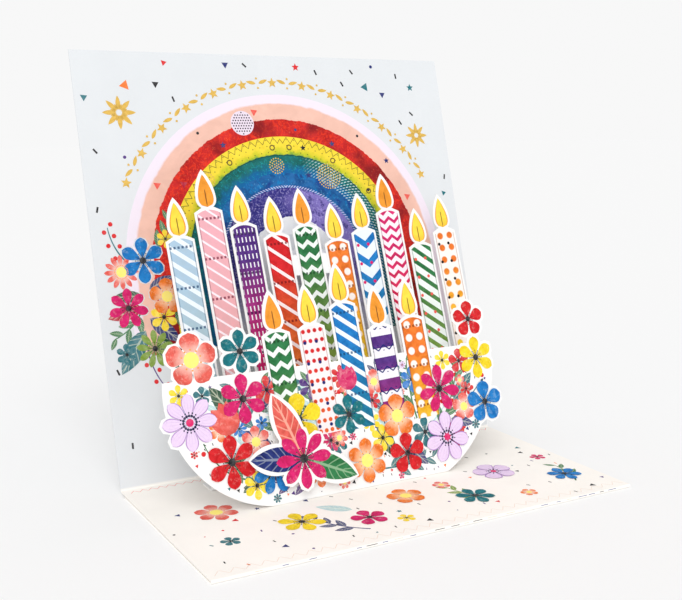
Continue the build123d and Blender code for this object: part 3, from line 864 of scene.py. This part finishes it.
def arch_finish(band, tints, sizes, shades):
    """Paint of one band of the arch: where two paints lie on it, they meet in a slightly loose line."""
    finish = Finish(f"Arch {band}")
    spot = arch_spot(finish, sizes)
    tone = arch_paint(finish, tints[0], spot, shades)
    loose = finish.more(spot[0], finish.band(finish.noise(1.6, 2.0), 0.3, 0.7, -0.25, 0.25))
    for tint in tints[1:]:
        start = ARCH_PAINT[tint][0]
        share = finish.band(loose, start - 0.08, start + 0.08)
        tone = finish.mix(share, tone, arch_paint(finish, tint, spot, shades))
    return finish.finish(tone)


class CARD_OT_arch(bpy.types.Operator):
    """Inks of the printed arch and the gold foil of its stars"""

    bl_idname = "card.arch"
    bl_label = "Arch and stars"

    def execute(self, context):
        sizes, shades, faces = settings(context)
        face = faces["panel"]
        rise = sizes.arch_rise / MM
        inner = sizes.arch_core / MM
        for band, width in ARCH_BANDS:
            outer = inner + width
            paints = ARCH_PAINT.items()
            tints = [tint for tint, (low, high) in paints if low < outer - 0.5 and high > inner + 0.5]
            dress_node(f"arch_{band}", arch_finish(band, tints, sizes, shades))
            inner = outer
        foil = Finish("Gold foil", 0.4)
        foil.shader.inputs["Metallic"].default_value = 0.35
        gold = foil.finish(foil.wash(tuple(shades.gold), 0.08, 1.5), 0.08)
        dress_node("gold_stars", gold)

        outer = inner + STAR_GAP
        step = 2 * STAR_TURN / (STAR_COUNT - 1)
        turns = np.radians(np.arange(-STAR_TURN + step / 2, STAR_TURN, step))
        feet, tips = [], []
        for side in (-1.0, 1.0):
            foot, tip = (turns + side * math.radians(turn) for turn in (GARLAND_FOOT, GARLAND_TIP))
            feet.append(ring_places(0.0, rise, outer, foot))
            tips.append(ring_places(0.0, rise, outer + GARLAND_RISE, tip))
        for x, height, reach in FOIL_BURSTS:
            for share, start in ((1.0, 0.0), (0.55, math.pi / 8)):
                feet.append(ring_places(x, height, 0.16 * reach, start + ring_turns(8)))
                tips.append(ring_places(x, height, share * reach, start + ring_turns(8)))
        leaves = leaf_sheets(face, np.concatenate(feet), np.concatenate(tips), 0.17, sizes.ink * 0.4)
        dress(patches("foil_leaves", [leaves]), gold)

        berries = [ring_places(0.0, rise, outer + beyond, turns) for beyond in GARLAND_DOTS]
        dots = [(np.concatenate(berries), 0.42)]
        for turn, reach, rings in ROSETTES:
            heart = ring_places(0.0, rise, reach, np.radians(turn))
            for ring in range(rings):
                dots.append((ring_places(*heart, 0.95 * ring, ring_turns(6 * ring or 1)), 0.3))
        above = sizes.ink + sizes.overprint
        groups = [(rounds(face, places, radius, 8, above), linear(shades.gold)) for places, radius in dots]
        dress(flat_chips("foil_dots", groups), gold)

        turn, reach, wide = DOTTED_DISC
        heart = ring_places(0.0, rise, reach, np.radians([turn]))
        groups = [(rounds(face, heart, wide, 32, above - sizes.overprint * 0.6), linear((0.90, 0.84, 0.90)))]
        steps = np.arange(-4, 5) * 1.0
        places = np.stack(np.meshgrid(steps, steps), axis=-1).reshape(-1, 2)
        places[:, 0] += np.where(places[:, 1] % 2 == 0, 0.0, 0.5)
        places = places[np.hypot(places[:, 0], places[:, 1]) < wide - 0.5] + heart
        groups.append((rounds(face, places, 0.3, 8, above), linear(shades.black)))

        kinds = np.array([mark[2] for mark in ARCH_MARKS])
        marks = np.array([ring_places(0.0, rise, mark[1], math.radians(mark[0])) for mark in ARCH_MARKS])
        inks = np.array([linear(getattr(shades, mark[3])) for mark in ARCH_MARKS])
        for kind, radius in MARK_SIZES.items():
            held = kinds == kind
            if kind == "star":
                chips = small_stars(face, marks[held], radius, above)
            else:
                chips = rounds(face, marks[held], radius, 12 if kind == "spot" else 3, above, 0.4)
            groups.append((chips, inks[held]))
        dress(flat_chips("arch_marks", groups), chip_finish("Marks of the arch"))
        return {"FINISHED"}


def candle_places(where, first, last, inks, foot, lowest, rise, swing):
    """Face, place, foot, top and ink of each candle: the tops go up and down along the row."""
    places = spread(first, last, len(inks))
    return [(where, x, foot, lowest + rise * share, ink) for x, share, ink in zip(places, swing, inks)]


def all_candles():
    """The tall candles of the row, then the short ones of the bank."""
    tall = (TALL_INKS, TALL_FOOT, TALL_LOWEST, TALL_RISE, TALL_SWING)
    short = (SHORT_INKS, SHORT_FOOT, SHORT_LOWEST, SHORT_RISE, SHORT_SWING)
    row = candle_places("row", ROW_LEFT + CANDLE_HALF, ROW_RIGHT - CANDLE_HALF, *tall)
    left, right = SHORT_INSETS
    return row + candle_places("bank", BANK_LEFT + left, BANK_RIGHT - right, *short)


def tipped(foot, x, height, tilt):
    """Turns points about a candle's foot by its tilt to the left."""
    turned_x = foot + x * np.cos(tilt) - height * np.sin(tilt)
    return turned_x, x * np.sin(tilt) + height * np.cos(tilt)


def candle_sheet(face, foot, bottom, top, sizes):
    """Candle body: x = s half widths; the top edge falls by the dome times s squared."""
    s = np.linspace(-1.0, 1.0, 9)[None, None, :]
    t = np.linspace(0.0, 1.0, 5)[None, :, None]
    ceiling = top - sizes.candle_dome / MM * s**2
    height = bottom + t * (ceiling - bottom)
    x = s * (sizes.candle_width / MM / 2) + 0.0 * t
    uv = np.stack((x, height - top), axis=-1)
    return face.lay(*tipped(foot, x, height, sizes.candle_tilt), sizes.ink), uv


def flame_sheet(face, foot, top, sizes):
    """Flame: half width = sine of pi times t to the power 0.55, to the power 0.8."""
    s = np.linspace(-1.0, 1.0, 7)[None, None, :]
    t = np.linspace(0.0, 1.0, 17)[None, :, None]
    x = s * (sizes.flame_width / MM / 2) * np.sin(math.pi * t**0.55).clip(0.0) ** 0.8
    height = top + sizes.wick / MM + t * (sizes.flame_height / MM) + 0.0 * s
    uv = np.stack(np.broadcast_arrays(s, t), axis=-1)
    return face.lay(*tipped(foot, x, height, sizes.candle_tilt), sizes.ink), uv


def candle_finish(tint, shades):
    """Ink of the candles of one colour: two ornaments, one for each half of the tones."""
    finish = Finish(f"Candle {tint}")
    across, along = finish.uv_parts()
    tone = finish.attribute("Tone", "Fac")
    ink, mate, fade = (tuple(getattr(shades, name)) for name in (tint, *CANDLE_MATES[tint]))
    deep = blended(ink, DARK, 0.45)
    low = finish.band(along, -12.0, -46.0, 0.0, 0.9)
    full = finish.mix(low, finish.wash(ink, 0.14, 3.0), finish.wash(fade, 0.14, 3.0))
    full = finish.over(finish.band(tone, 0.0, 0.08, 0.62, 0.0), full, blended(fade, WHITE, 0.82))
    light = finish.wash(blended(ink, WHITE, 0.92), 0.03, 5.0)
    slant = finish.more(along, across, 0.8)
    zigzag = finish.more(along, finish.wave(across, 4.3), 1.8)
    spots = None
    if tint == "blue":
        first = finish.stripes(slant, 5.2, 0.62)
        second = finish.stripes(finish.less(along, finish.times(finish.wave(across, 8.6), 3.4)), 7.0, 0.42)
    elif tint == "pink":
        first = finish.stripes(slant, 4.4, 0.8)
        second = finish.stripes(zigzag, 3.4, 0.42)
        spots = 0.0
    elif tint == "violet":
        dashed = finish.times(finish.stripes(across, 1.45, 0.3), finish.stripes(along, 3.0, 0.6))
        first = finish.less(1.0, dashed)
        second = finish.stripes(along, 7.4, 0.56)
        drawn = finish.line(finish.math("FRACT", finish.math("DIVIDE", zigzag, 1.85)), 0.5, 0.16)
        spots = finish.times(finish.stripes(finish.more(along, 1.0), 7.4, 0.28), drawn)
    elif tint == "red":
        first = finish.stripes(slant, 6.4, 0.76)
        second = finish.dots(across, along, 2.15, 3.3, 0.72)
    elif tint == "green":
        first = finish.stripes(zigzag, 4.6, 0.62)
        second = finish.stripes(slant, 5.0, 0.42)
    else:
        second = finish.dots(across, along, 4.3, 4.6, 1.3)
        first = finish.less(1.0, second)
    if spots is None:
        spots = finish.dots(finish.more(across, 1.1), finish.more(along, 1.9), 4.3, 6.9, 0.6)
    row = finish.stripes(finish.more(along, 3.4), 13.8, 0.06)
    beads = finish.times(row, finish.stripes(across, 1.43, 0.55))
    first = finish.over(beads, finish.mix(first, light, full), deep, 0.85)
    second = finish.over(spots, finish.mix(second, light, full), mate)
    body = finish.mix(finish.math("GREATER_THAN", tone, 0.5), first, second)
    return finish.finish(finish.over(finish.line(finish.size_of(across), 4.25, 0.3), body, deep, 0.45))


def flame_finish(shades):
    """Ink of the flames: yellow, orange on every third, darker at the rim, with a thin wick."""
    finish = Finish("Flame")
    across, along = finish.uv_parts()
    third = finish.math("GREATER_THAN", finish.attribute("Tone", "Fac"), 0.66)
    body = finish.wash(tuple(shades.flame), 0.06, 3.0)
    body = finish.over(third, body, finish.wash(tuple(shades.glow), 0.1, 3.0))
    body = finish.over(finish.band(along, 0.05, 0.3, 0.35, 0.0), body, shades.glow)
    body = finish.over(finish.line(finish.size_of(across), 0.97, 0.12), body, shades.glow)
    stem = finish.times(finish.line(across, 0.0, 0.07), finish.band(along, 0.5, 0.56, 1.0, 0.0))
    return finish.finish(finish.over(stem, body, (0.35, 0.2, 0.1), 0.85))


class CARD_OT_candles(bpy.types.Operator):
    """Printed candles and flames on the row and on the bank"""

    bl_idname = "card.candles"
    bl_label = "Candles and flames"

    def execute(self, context):
        sizes, shades, faces = settings(context)
        candles = all_candles()
        for tint in sorted({candle[4] for candle in candles}):
            chosen = [candle for candle in candles if candle[4] == tint]
            sheets = [candle_sheet(faces[where], x, foot, top, sizes) for where, x, foot, top, _ in chosen]
            tone = np.arange(len(chosen)) % 2 * 0.8 + 0.1
            tone[0] = 0.0 if tint in PALE_CANDLES else 0.1
            made = patches(f"candle_print_{tint}", sheets, tone)
            dress(made, candle_finish(tint, shades), f"candles_{tint}")
        sheets = [flame_sheet(faces[where], x, top, sizes) for where, x, _, top, _ in candles]
        made = patches("flame_print", sheets, np.arange(len(candles)) * 2 % 3 / 2.0)
        dress(made, flame_finish(shades), "flames")
        return {"FINISHED"}


def petal_sheets(face, blossom, lift):
    """Petals of one blossom, and their print map.

    Along a petal, u goes 0 to 1 from foot to tip; its half width is the widest one times
    the sine of pi times u to the power 1.7, to the power 0.65.
    """
    x, height, radius, count, tint = blossom
    slim = PETAL_SLIM[BLOSSOM_KINDS.get(tint, 0)]
    u = np.linspace(0.0, 1.0, 13)[None, None, :]
    s = np.linspace(-1.0, 1.0, 5)[None, :, None]
    turn = (math.pi / 2 + ring_turns(count))[:, None, None]
    foot = 0.06 * radius
    reach = foot + (radius - foot) * u
    widest = slim * PETAL_FILL * PETAL_WIDEST * radius * math.tan(math.pi / count)
    side = s * widest * np.sin(math.pi * u**1.7).clip(0.0) ** 0.65
    px = x + reach * np.cos(turn) - side * np.sin(turn)
    ph = height + reach * np.sin(turn) + side * np.cos(turn)
    uv = np.stack(np.broadcast_arrays(s + 0.0 * turn, u + 0.0 * turn), axis=-1)
    return face.lay(px, ph, lift), uv


def petal_finish(name, shade=None):
    """Ink of petals in three ways, by tone: full, pale with drawn veins, or with a pale heart.

    Without a colour, the ink is the one that the petals carry.
    """
    finish = Finish(name)
    across, along = finish.uv_parts()
    tone = finish.attribute("Tone", "Fac")
    ink = shade or finish.attribute("Ink", "Color")
    dark = finish.toward(ink, (0.16, 0.0, 0.10), 0.5)
    light = finish.toward(ink, (1.0, 0.98, 0.92), 0.72)
    pale = finish.toward(ink, (1.0, 0.98, 1.0), 0.42)
    deep = finish.toward(ink, (0.45, 0.25, 0.62), 0.35)
    wash = finish.wash(ink, 0.13, 2.4)
    veins = finish.stripes(finish.more(across, 5.0), 0.5, 0.16)
    grain = finish.band(finish.noise(0.9, 3.0, 0.7), 0.52, 0.66, 0.0, 0.3)

    full = finish.mix(finish.times(grain, 0.6), wash, dark)
    full = finish.blot(full, light, 1.6, 0.55, 0.65, 0.22, 3.0)
    full = finish.mix(finish.band(along, 0.05, 0.28, 0.5, 0.0), full, dark)
    soft = finish.times(veins, finish.band(along, 0.5, 0.95, 0.5, 0.0))
    drawn = finish.mix(finish.math("MAXIMUM", soft, grain), pale, wash)
    drawn = finish.mix(finish.line(finish.size_of(across), 0.96, 0.1), drawn, deep)
    heart = finish.band(finish.more(along, finish.noise(1.6), 0.3), 0.4, 0.85, 0.85, 0.0)
    edged = finish.mix(heart, finish.mix(grain, wash, light), light)
    body = finish.mix(finish.math("GREATER_THAN", tone, 0.33), full, drawn)
    return finish.finish(finish.mix(finish.math("GREATER_THAN", tone, 0.66), body, edged))


def chip_finish(name):
    """Plain inks of small motifs, each with the colour that its points carry."""
    finish = Finish(name)
    ink = finish.attribute("Ink", "Color")
    return finish.finish(finish.blot(ink, WHITE, 1.2, 0.35, 0.75, 0.08, 3.0, 0.5))


def centre_chips(face, blossom, lift, shades):
    """Heart of a blossom by kind: dark with stamens, a ring of drawn beads, or a pale disc."""
    x, height, radius, count, tint = blossom
    kind = BLOSSOM_KINDS.get(tint, 0)
    turns = np.arange(2 * count) * math.pi / count

    def disc(share, corners, ink, rise=0.0):
        return rounds(face, np.array([[x, height]]), share * radius, corners, lift + rise), linear(ink)

    def beads(reach, share, ink):
        places = ring_places(x, height, reach * radius, turns)
        return rounds(face, places, share * radius, 8, lift), linear(ink)

    if kind == 0:
        middle = ring_places(x, height, 0.2 * radius, turns)
        rays = dashes(face, middle, 0.16 * radius, 0.022 * radius, math.pi / 2 - turns, lift)
        dark = shades.black
        return [(rays, linear(dark)), beads(0.33, 0.026, dark), disc(0.15, 9, dark, lift * 0.05)]
    if kind == 1:
        dark = blended(shades.navy, shades.black, 0.5)
        return [disc(0.14, 12, shades.pink), beads(0.24, 0.05, dark), beads(0.34, 0.03, dark)]
    return [disc(0.3, 16, blended(shades.yellow, WHITE, 0.4)), beads(0.38, 0.035, shades.glow)]


def on_bank(places, margin):
    """1 for each place by its margin inside the bank: a level foot and top, and a round at each side."""
    x, height = places[:, 0], places[:, 1]
    held = (height > margin + BANK_FOOT) & (height < BANK_TOP - margin)
    for side, (middle, rise, radius) in ((-1.0, LEFT_ROUND), (1.0, RIGHT_ROUND)):
        within = np.hypot(x - middle, height - rise) < radius - margin
        held &= within | (side * (x - middle) < 0.0)
    return held


def filled_in(blossoms, seed, pitch, least, most, overlap):
    """Small blossoms for the gaps of the bank: each as large as its gap and the overlap let it be."""
    places, maker = scattered(seed, pitch, *BANK_FIELD)
    x, height, radius = np.array([blossom[:3] for blossom in blossoms], float).T
    gap = (np.hypot(places[:, None, 0] - x, places[:, None, 1] - height) - radius).min(axis=1)
    sizes = np.minimum(gap + overlap, most)
    held = (sizes >= least) & on_bank(places, sizes)
    counts = maker.integers(5, 9, len(places))
    inks = np.array(BLOSSOM_INKS)[maker.integers(0, len(BLOSSOM_INKS), len(places))]
    chosen = zip(places[held].tolist(), sizes[held].tolist(), counts[held].tolist(), inks[held].tolist())
    return tuple((*place, size, count, ink) for place, size, count, ink in chosen)


class CARD_OT_blossoms(bpy.types.Operator):
    """Printed blossoms on the bank, the bouquet, the base and the back panel"""

    bl_idname = "card.blossoms"
    bl_label = "Blossoms"

    def execute(self, context):
        sizes, shades, faces = settings(context)
        placed = []
        for where, blossoms in LARGE_BLOSSOMS.items():
            for order, blossom in enumerate(blossoms):
                placed.append((faces[where], blossom, sizes.ink + sizes.overprint * 3 * order))
        for tint in BLOSSOM_INKS:
            sheets = [petal_sheets(*piece) for piece in placed if piece[1][4] == tint]
            made = patches(f"petal_print_{tint}", sheets, BLOSSOM_KINDS.get(tint, 0) / 2.0)
            dress(made, petal_finish(f"Petal {tint}", tuple(getattr(shades, tint))), f"blossoms_{tint}")
        centres = []
        for face, blossom, lift in placed:
            centres += centre_chips(face, blossom, lift + sizes.overprint, shades)
        dress(flat_chips("centre_print", centres), chip_finish("Blossom centres"), "blossom_centres")

        fillers = BANK_CORNERS
        for filling in BANK_FILLINGS:
            fillers = filled_in(BANK_BLOSSOMS + fillers, *filling) + fillers
        groups = (("bank", fillers), ("base", BASE_SMALL), ("panel", PANEL_SMALL))
        small = [(where, blossom) for where, some in groups for blossom in some]
        sheets, tones, inks, centres = [], [], [], []
        for order, (where, blossom) in enumerate(small):
            lift = sizes.ink * (SMALL_PRINT[where] + 0.06 * order / len(small))
            sheets.append(petal_sheets(faces[where], blossom, lift))
            tones += [BLOSSOM_KINDS.get(blossom[4], 0) / 2.0] * blossom[3]
            inks += [linear(getattr(shades, blossom[4]))] * blossom[3]
            centres += centre_chips(faces[where], blossom, lift + sizes.overprint, shades)
        dress(patches("small_petal_print", sheets, tones, np.array(inks)), petal_finish("Small petals"))
        dress(flat_chips("small_centre_print", centres), chip_finish("Small centres"))
        return {"FINISHED"}


def leaf_sheets(face, feet, tips, share, lift):
    """Leaves from foot to tip: half width = share of the length times the sine of pi u, to the power 0.8."""
    feet = np.asarray(feet, float)[:, None, None, :]
    tips = np.asarray(tips, float)[:, None, None, :]
    u = np.linspace(0.0, 1.0, 9)[None, None, :]
    s = np.linspace(-1.0, 1.0, 3)[None, :, None]
    run = tips - feet
    side = s * share * np.sin(math.pi * u**0.85).clip(0.0) ** 0.8
    px = feet[..., 0] + u * run[..., 0] - side * run[..., 1]
    ph = feet[..., 1] + u * run[..., 1] + side * run[..., 0]
    uv = np.stack(np.broadcast_arrays(s + 0.0 * px, u + 0.0 * px), axis=-1)
    return face.lay(px, ph, lift), uv


def leaf_finish(name, shade=None):
    """Ink of leaves: a pale midrib with slanting side veins over a wash.

    Without a colour, the ink is the one that the leaves carry.
    """
    finish = Finish(name)
    across, along = finish.uv_parts()
    ink = shade or finish.attribute("Ink", "Color")
    slope = finish.less(along, finish.times(finish.size_of(across), 0.18))
    veins = finish.times(finish.stripes(slope, 0.14, 0.18), 0.8)
    mask = finish.math("MAXIMUM", finish.line(across, 0.0, 0.11), veins)
    light = finish.toward(ink, (1.0, 1.0, 0.9), 0.55)
    return finish.finish(finish.mix(finish.times(mask, 0.75), finish.wash(ink, 0.16, 3.0), light))


class CARD_OT_bouquet(bpy.types.Operator):
    """Printed leaves and bud of the bouquet"""

    bl_idname = "card.bouquet"
    bl_label = "Bouquet leaves"

    def execute(self, context):
        sizes, shades, faces = settings(context)
        for node, aside, above, tint, share in BOUQUET_LEAVES:
            tip = (BOUQUET_X + aside, BOUQUET_RISE + above)
            leaf = leaf_sheets(faces["bouquet"], [(BOUQUET_X, BOUQUET_RISE)], [tip], share, sizes.ink * 0.6)
            dress(patches(f"{node}_print", [leaf]), leaf_finish(node, tuple(getattr(shades, tint))), node)
        return {"FINISHED"}


def along_stem(stem, t):
    """Places along a stem: foot + t run + 4 bow t (1 - t) to the left of the run."""
    foot, tip, bow = np.array(stem[0], float), np.array(stem[1], float), stem[2]
    run = tip - foot
    left = np.array((-run[1], run[0])) / np.hypot(*run)
    t = np.asarray(t, float)[:, None]
    return foot + t * run + 4 * bow * t * (1 - t) * left


def stem_sheet(face, stem, half, lift):
    """Thin stem whose half width falls to half at its tip, and its print map."""
    t = np.linspace(0.0, 1.0, 15)
    middle = along_stem(stem, t)
    run = np.gradient(middle, axis=0)
    run /= np.hypot(run[:, 0], run[:, 1])[:, None]
    side = np.array((-1.0, 1.0))[None, :, None] * half * (1 - 0.5 * t)
    uv = np.stack(np.broadcast_arrays(side / half, t + 0.0 * side), axis=-1)
    return face.lay(middle[:, 0] - side * run[:, 1], middle[:, 1] + side * run[:, 0], lift), uv


def stem_leaves(stem, reach):
    """Feet and tips of a stem's leaves: they stand out to both sides in turn, shorter towards its tip."""
    count = stem[3]
    t = np.linspace(0.22, 0.96, count)
    feet = along_stem(stem, t)
    ahead = along_stem(stem, t + 0.02) - feet
    ahead /= np.hypot(ahead[:, 0], ahead[:, 1])[:, None]
    hand = np.where(np.arange(count) % 2 == 0, 1.0, -1.0)[:, None]
    aside = hand * np.stack((-ahead[:, 1], ahead[:, 0]), axis=-1)
    return feet, feet + (0.78 * ahead + 0.62 * aside) * (reach * (1 - 0.4 * t))[:, None]


def tulip_tips(foot, tip):
    """Tips of a tulip's five petals, spread about its own run."""
    foot, tip = np.array(foot, float), np.array(tip, float)
    run = tip - foot
    left = np.array((-run[1], run[0]))
    aside = np.array((-0.36, 0.36, -0.16, 0.16, 0.0))[:, None]
    short = np.array((0.12, 0.12, 0.02, 0.02, 0.14))[:, None]
    return foot + run + aside * left - short * run


class CARD_OT_foliage(bpy.types.Operator):
    """Printed stems, leaves, tulips and berries between the blossoms"""

    bl_idname = "card.foliage"
    bl_label = "Foliage"

    def execute(self, context):
        sizes, shades, faces = settings(context)
        stems, stem_inks, leaves, leaf_inks, berries = [], [], [], [], []
        groups = (("bank", BANK_STEMS), ("base", BASE_STEMS), ("panel", PANEL_STEMS))
        for number, (where, stem) in enumerate((where, stem) for where, some in groups for stem in some):
            ink = linear(getattr(shades, stem[4]))
            low = sizes.ink * LOW_PRINT[where]
            stems.append(stem_sheet(faces[where], stem, STEM_HALF, low))
            stem_inks.append(ink)
            if number % 4 == 2:
                ends = stem_leaves(stem, BERRY_REACH)[1]
                berries.append((rounds(faces[where], ends, BERRY_RADIUS, 10, low), linear(shades.red)))
            else:
                feet, tips = stem_leaves(stem, LEAF_REACH)
                leaves.append(leaf_sheets(faces[where], feet, tips, LEAF_SHARE, low + sizes.ink * 0.02))
                leaf_inks += [ink] * len(feet)
        for number, (where, foot, tip, tint) in enumerate(LARGE_LEAVES):
            low = sizes.ink * LOW_PRINT[where] + sizes.ink * (0.03 + 0.001 * number)
            leaves.append(leaf_sheets(faces[where], [foot], [tip], LEAF_SHARE, low))
            leaf_inks.append(linear(getattr(shades, tint)))
        cups, cup_inks = [], []
        for foot, tip, tint in TULIPS:
            for order, end in enumerate(tulip_tips(foot, tip)):
                lift = sizes.ink + (2 + order) * sizes.overprint
                cups.append(leaf_sheets(faces["bank"], [foot], [end], TULIP_SHARE, lift))
                cup_inks.append(linear(getattr(shades, tint)))
        dress(patches("tulip_print", cups, inks=np.array(cup_inks)), petal_finish("Tulips"))
        dress(patches("stem_print", stems, inks=np.array(stem_inks)), chip_finish("Stems"))
        dress(patches("leaf_print", leaves, inks=np.array(leaf_inks)), leaf_finish("Leaves"))
        dress(flat_chips("berry_print", berries), chip_finish("Berries"))
        return {"FINISHED"}


def scattered(seed, pitch, corner, far_corner):
    """Places of a lattice over a field, each moved by up to a share of the pitch."""
    maker = np.random.default_rng(seed)
    xs, heights = (np.arange(low, high, pitch) for low, high in zip(corner, far_corner))
    places = np.stack(np.meshgrid(xs, heights), axis=-1).reshape(-1, 2)
    places = places + maker.uniform(-0.42, 0.42, places.shape) * pitch
    return places, maker


def clear_of(places, blossoms, gap):
    """1 for each place that lies further than the gap from every blossom."""
    x, height, radius = np.array([blossom[:3] for blossom in blossoms], float).T
    reach = np.hypot(places[:, None, 0] - x, places[:, None, 1] - height)
    return (reach > radius + gap).all(axis=1)


def bare_places(where, places, rise):
    """1 for each place of a face that no large print covers, by the height of the arch's centre."""
    if where == "base":
        return clear_of(places, BASE_BLOSSOMS + BASE_SMALL, 0.6)
    if where == "bank":
        return on_bank(places, 1.2) & clear_of(places, BANK_BLOSSOMS, -0.6)
    reach = np.hypot(places[:, 0], np.maximum(places[:, 1] - rise, 0.0))
    held = reach > np.where(places[:, 1] > rise, ARCH_CLEAR_OVER, ARCH_CLEAR_BESIDE)
    held &= clear_of(places, PANEL_BLOSSOMS + PANEL_SMALL, 0.8) & clear_of(places, FOIL_BURSTS, 3.0)
    return held & (np.abs(places[:, 0]) < RIGHT_EDGE - PRINT_MARGIN) & (places[:, 1] < PRINT_TOP)


def confetti(face, places, maker, inks, size, lift):
    """Small marks in turn: strokes, dots, triangles and stars, as groups of chips."""
    kinds = maker.integers(0, 20, len(places))
    tints = np.array([linear(ink) for ink in inks])[maker.integers(0, len(inks), len(places))]
    turns = maker.uniform(0.2, 1.3, len(places))
    strokes, stars = kinds < 10, kinds == 19
    spots = (kinds >= 10) & (kinds < 14)
    peaks = (kinds >= 14) & (kinds < 19)
    tints[strokes & (kinds > 1)] = linear(inks[0])
    spot_sizes = 0.5 * size * turns[spots].clip(0.6, 1.0)
    peak_sizes = size * (0.8 + 0.6 * turns[peaks])
    return [
        (dashes(face, places[strokes], 1.5 * size, 0.5 * size, turns[strokes] + 1.1, lift), tints[strokes]),
        (rounds(face, places[spots], spot_sizes, 12, lift), tints[spots]),
        (rounds(face, places[peaks], peak_sizes, 3, lift, turns[peaks][:, None]), tints[peaks]),
        (small_stars(face, places[stars], 1.2 * size, lift), tints[stars]),
    ]


class CARD_OT_confetti(bpy.types.Operator):
    """Printed small marks on the back panel, the base and the bank, and the stitches along the folds"""

    bl_idname = "card.confetti"
    bl_label = "Confetti and stitches"

    def execute(self, context):
        sizes, shades, faces = settings(context)
        low = sizes.ink * LOW_PRINT["base"]
        inks = [getattr(shades, name) for name in CONFETTI_INKS]

        chips = []
        for where, (seed, pitch, near, far, size) in CONFETTI_FIELDS.items():
            places, maker = scattered(seed, pitch, near, far)
            places = places[bare_places(where, places, sizes.arch_rise / MM)]
            chips += confetti(faces[where], places, maker, inks, size, low)
        dress(flat_chips("confetti_print", chips), chip_finish("Confetti"))

        rows = []
        for height, step, long, tint in STITCH_ROWS:
            x = np.arange(LEFT_EDGE + 3.0, RIGHT_EDGE - 2.0, step)
            turn = np.where(np.arange(len(x)) % 2 == 0, 0.9, -0.9)
            row = np.stack((x, np.full(len(x), height)), axis=-1)
            ink = linear(blended(getattr(shades, tint), shades.base, 0.3))
            rows.append((dashes(faces["base"], row, long, THREAD_WIDTH, turn, low), ink))
        dress(flat_chips("stitch_print", rows), chip_finish("Stitches"))

        seed, step, sway, gone, least, most = FOLD_MARKS
        maker = np.random.default_rng(seed)
        x = np.arange(LEFT_EDGE + 4.0, RIGHT_EDGE - 3.0, step)
        x = (x + maker.uniform(-sway, sway, len(x)))[maker.uniform(0.0, 1.0, len(x)) > gone]
        row = np.stack((x, np.zeros(len(x))), axis=-1)
        long = maker.uniform(least, most, (len(x), 1))
        marks = dashes(fold_face(), row, long, THREAD_WIDTH, np.zeros(len(x)), 0.0)
        pale = [blended(shades.black, shades.base, 0.25), blended(shades.navy, shades.base, 0.35)]
        inks = np.array([linear(ink) for ink in (*pale, shades.stitch)])[maker.integers(0, 3, len(x))]
        dress(flat_chips("fold_print", [(marks, inks)]), chip_finish("Marks of the fold"))
        return {"FINISHED"}


class CARD_PT_looks(bpy.types.Panel):
    """Lists the steps that dress the card"""

    bl_idname = "CARD_PT_looks"
    bl_label = "Pop-up card"
    bl_space_type = "VIEW_3D"
    bl_region_type = "UI"
    bl_category = "Card"

    def draw(self, context):
        for step in STEPS:
            self.layout.operator(step.bl_idname)


STEPS = (
    CARD_OT_stage,
    CARD_OT_stock,
    CARD_OT_arch,
    CARD_OT_candles,
    CARD_OT_blossoms,
    CARD_OT_bouquet,
    CARD_OT_foliage,
    CARD_OT_confetti,
)
CLASSES = (CardSizes, CardColours) + STEPS + (CARD_PT_looks,)


def register():
    """Registers the classes and hangs the properties on the scene."""
    for kind in CLASSES:
        bpy.utils.register_class(kind)
    bpy.types.Scene.card_sizes = bpy.props.PointerProperty(type=CardSizes)
    bpy.types.Scene.card_colours = bpy.props.PointerProperty(type=CardColours)


def unregister():
    """Takes the properties and the classes away again."""
    del bpy.types.Scene.card_colours
    del bpy.types.Scene.card_sizes
    for kind in reversed(CLASSES):
        bpy.utils.unregister_class(kind)


def main():
    """Dresses the card step by step."""
    register()
    for step in STEPS:
        group, name = step.bl_idname.split(".")
        getattr(getattr(bpy.ops, group), name)()


if __name__ == "__main__":
    main()
